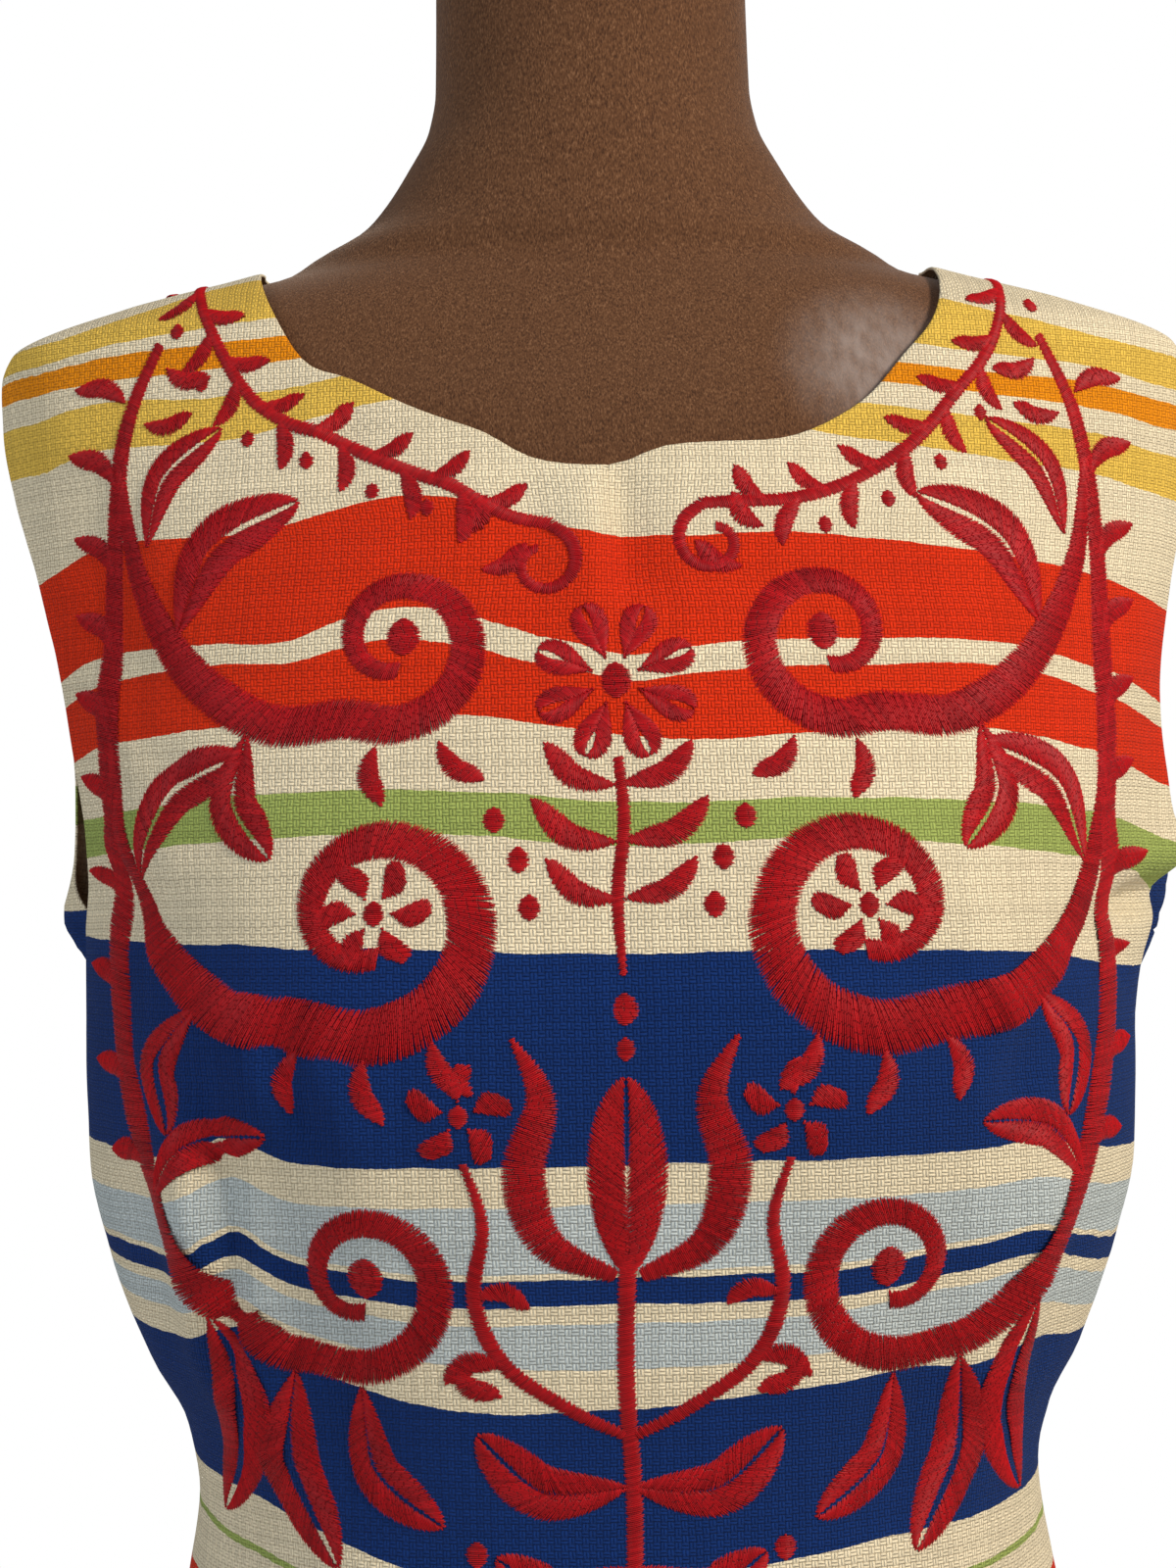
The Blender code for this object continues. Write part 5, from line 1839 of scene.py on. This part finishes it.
# The form under the dress
formGrid = {
    "around": 128,
    "rows": 230,
    "crowding": 1.5,  # rows lie closer towards the neck
    "bottom": 0.655,
    "top": 1.522,
    "roundBy": 0.006,
    "mergeWithin": 0.00001,
}


# around goes from 0 to 1, from the centre front by +X
def formPoint(around, height):
    section = formStack.at(height)
    angle = 2 * math.pi * around
    side = right if math.sin(angle) >= 0 else left
    face = front if math.cos(angle) >= 0 else back
    folded = (around * 4) % 2
    x, y, outward = onSection(section, face, folded if folded <= 1 else 2 - folded)
    lift = fullnessAt(formFullness, x, height) if face == front else 0.0
    return Vector((side * (x + lift * outward.x), y + lift * outward.y, height))


def makeForm():
    around, rows = formGrid["around"], formGrid["rows"]
    bottom, top = formGrid["bottom"], formGrid["top"]
    points, faces = [], []
    parts = (1 - (1 - part) ** formGrid["crowding"] for part in spread(0.0, 1.0, rows))
    heights = [bottom + (top - bottom) * part for part in parts]
    for row, height in enumerate(heights):
        ring = [formPoint(index / around, height) for index in range(around + 1)]
        centre = Vector((0, 0, height))
        fromEnd = min(height - bottom, top - height)
        rounding = max(0.0, 1 - fromEnd / formGrid["roundBy"])
        inset = formGrid["roundBy"] * (1 - math.sqrt(max(0.0, 1 - rounding**2)))
        for point in ring:
            outer = point - centre
            points.append(centre + outer * (1 - inset / max(outer.length, 0.01)))
    wide = around + 1
    for row in range(rows):
        for index in range(around):
            start = row * wide + index
            faces.append((start, start + 1, start + wide + 1, start + wide))
    faces.append(tuple(range(around))[::-1])
    faces.append(tuple(range(rows * wide, rows * wide + around)))
    piece = linkObject("form_body", newMesh("form_body", points, [], faces), "form")
    weld = piece.modifiers.new("closed", "WELD")
    weld.merge_threshold = formGrid["mergeWithin"]
    smoothed(baked(piece), 50)
    return declared(piece, "form_torso")


formBody = makeForm()

# The turned parts: the cap on the neck, and the stand. Profiles are (radius, height), top to bottom.
standShape = {
    "around": 96,
    "gap": 0.0003,
    "flangeRadius": 0.032,
    "flangeThickness": 0.014,
    "poleRadius": 0.0125,
    "baseRadius": 0.185,
    "baseThickness": 0.016,
    # heights here are above the top of the neck
    "cap": [
        (0.0, 0.0440), (0.0035, 0.0436), (0.0080, 0.0420), (0.0112, 0.0394), (0.0130, 0.0358),
        (0.0135, 0.0325), (0.0128, 0.0288), (0.0106, 0.0256), (0.0080, 0.0228), (0.0069, 0.0203),
        (0.0074, 0.0172), (0.0100, 0.0148), (0.0160, 0.0136), (0.0260, 0.0120), (0.0360, 0.0096),
        (0.0430, 0.0077), (0.0470, 0.0060), (0.0487, 0.0040), (0.0490, 0.0022), (0.0482, 0.0008),
        (0.0465, 0.0), (0.0, 0.0),
    ],
}


# A quarter round at an upper outer edge, from the top face outwards
def roundedCorner(radius, height, size, steps=5):
    return [
        (radius - size + size * math.sin(turn), height - size + size * math.cos(turn))
        for turn in spread(0.0, math.pi / 2, steps)
    ]


def turnedPiece(name, profile, look, node):
    around = standShape["around"]
    points, faces, rings = [], [], []
    for radius, height in profile:
        count = around if radius else 1
        rings.append([len(points) + index for index in range(count)])
        for index in range(count):
            angle = 2 * math.pi * index / around
            points.append((radius * math.cos(angle), radius * math.sin(angle), height))
    for upper, lower in zip(rings, rings[1:]):
        for index in range(around):
            after = (index + 1) % around
            corners = [upper[after % len(upper)], upper[index % len(upper)]]
            corners += [lower[index % len(lower)], lower[after % len(lower)]]
            faces.append(list(dict.fromkeys(corners)))
    piece = linkObject(name, newMesh(name, points, [], faces), look)
    return declared(smoothed(piece, 35), node)


def makeStand():
    gap = standShape["gap"]
    capBottom = formGrid["top"] + gap
    cap = [(radius, capBottom + height) for radius, height in standShape["cap"]]
    turnedPiece("neck_cap_turned", cap, "wood", "neck_cap")
    flangeTop = formGrid["bottom"] - gap
    flangeBottom = flangeTop - standShape["flangeThickness"]
    wide, pole = standShape["flangeRadius"], standShape["poleRadius"]
    flange = [(0.0, flangeTop), *roundedCorner(wide, flangeTop, 0.0008, 3), (wide, flangeTop - 0.0045)]
    flange += [(wide - 0.0012, flangeTop - 0.0052), (pole * 1.5, flangeBottom + 0.0012)]
    flange += [(pole * 1.4, flangeBottom), (0.0, flangeBottom)]
    turnedPiece("pole_flange_turned", flange, "blackMetal", "pole_flange")
    poleTop, poleBottom = flangeBottom - gap, standShape["baseThickness"] + gap
    tube = [(0.0, poleTop), (pole, poleTop), (pole, poleBottom), (0.0, poleBottom)]
    turnedPiece("stand_pole_round", tube, "blackMetal", "stand_pole")
    thick, reach = standShape["baseThickness"], standShape["baseRadius"]
    base = [(0.0, thick), *roundedCorner(reach, thick, 0.004)]
    base += [(reach, 0.0012), (reach - 0.0012, 0.0), (0.0, 0.0)]
    turnedPiece("stand_base_disc", base, "blackMetal", "stand_base")


makeStand()
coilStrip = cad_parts["zip_coil"]
coilStrip.data.materials.clear()
coilStrip.data.materials.append(materials["zipTape"])
bpy.data.objects.remove(strand)
print("stand is made")

# The floor, which isn't part of the object
def makeFloor():
    sides, radius = studio["floorSides"], studio["floorRadius"]
    turns = [2 * math.pi * index / sides for index in range(sides)]
    rim = [(radius * math.cos(turn), radius * math.sin(turn), 0.0) for turn in turns]
    linkObject("floor", newMesh("floor", rim, [], [tuple(range(sides))]), "floor")


makeFloor()
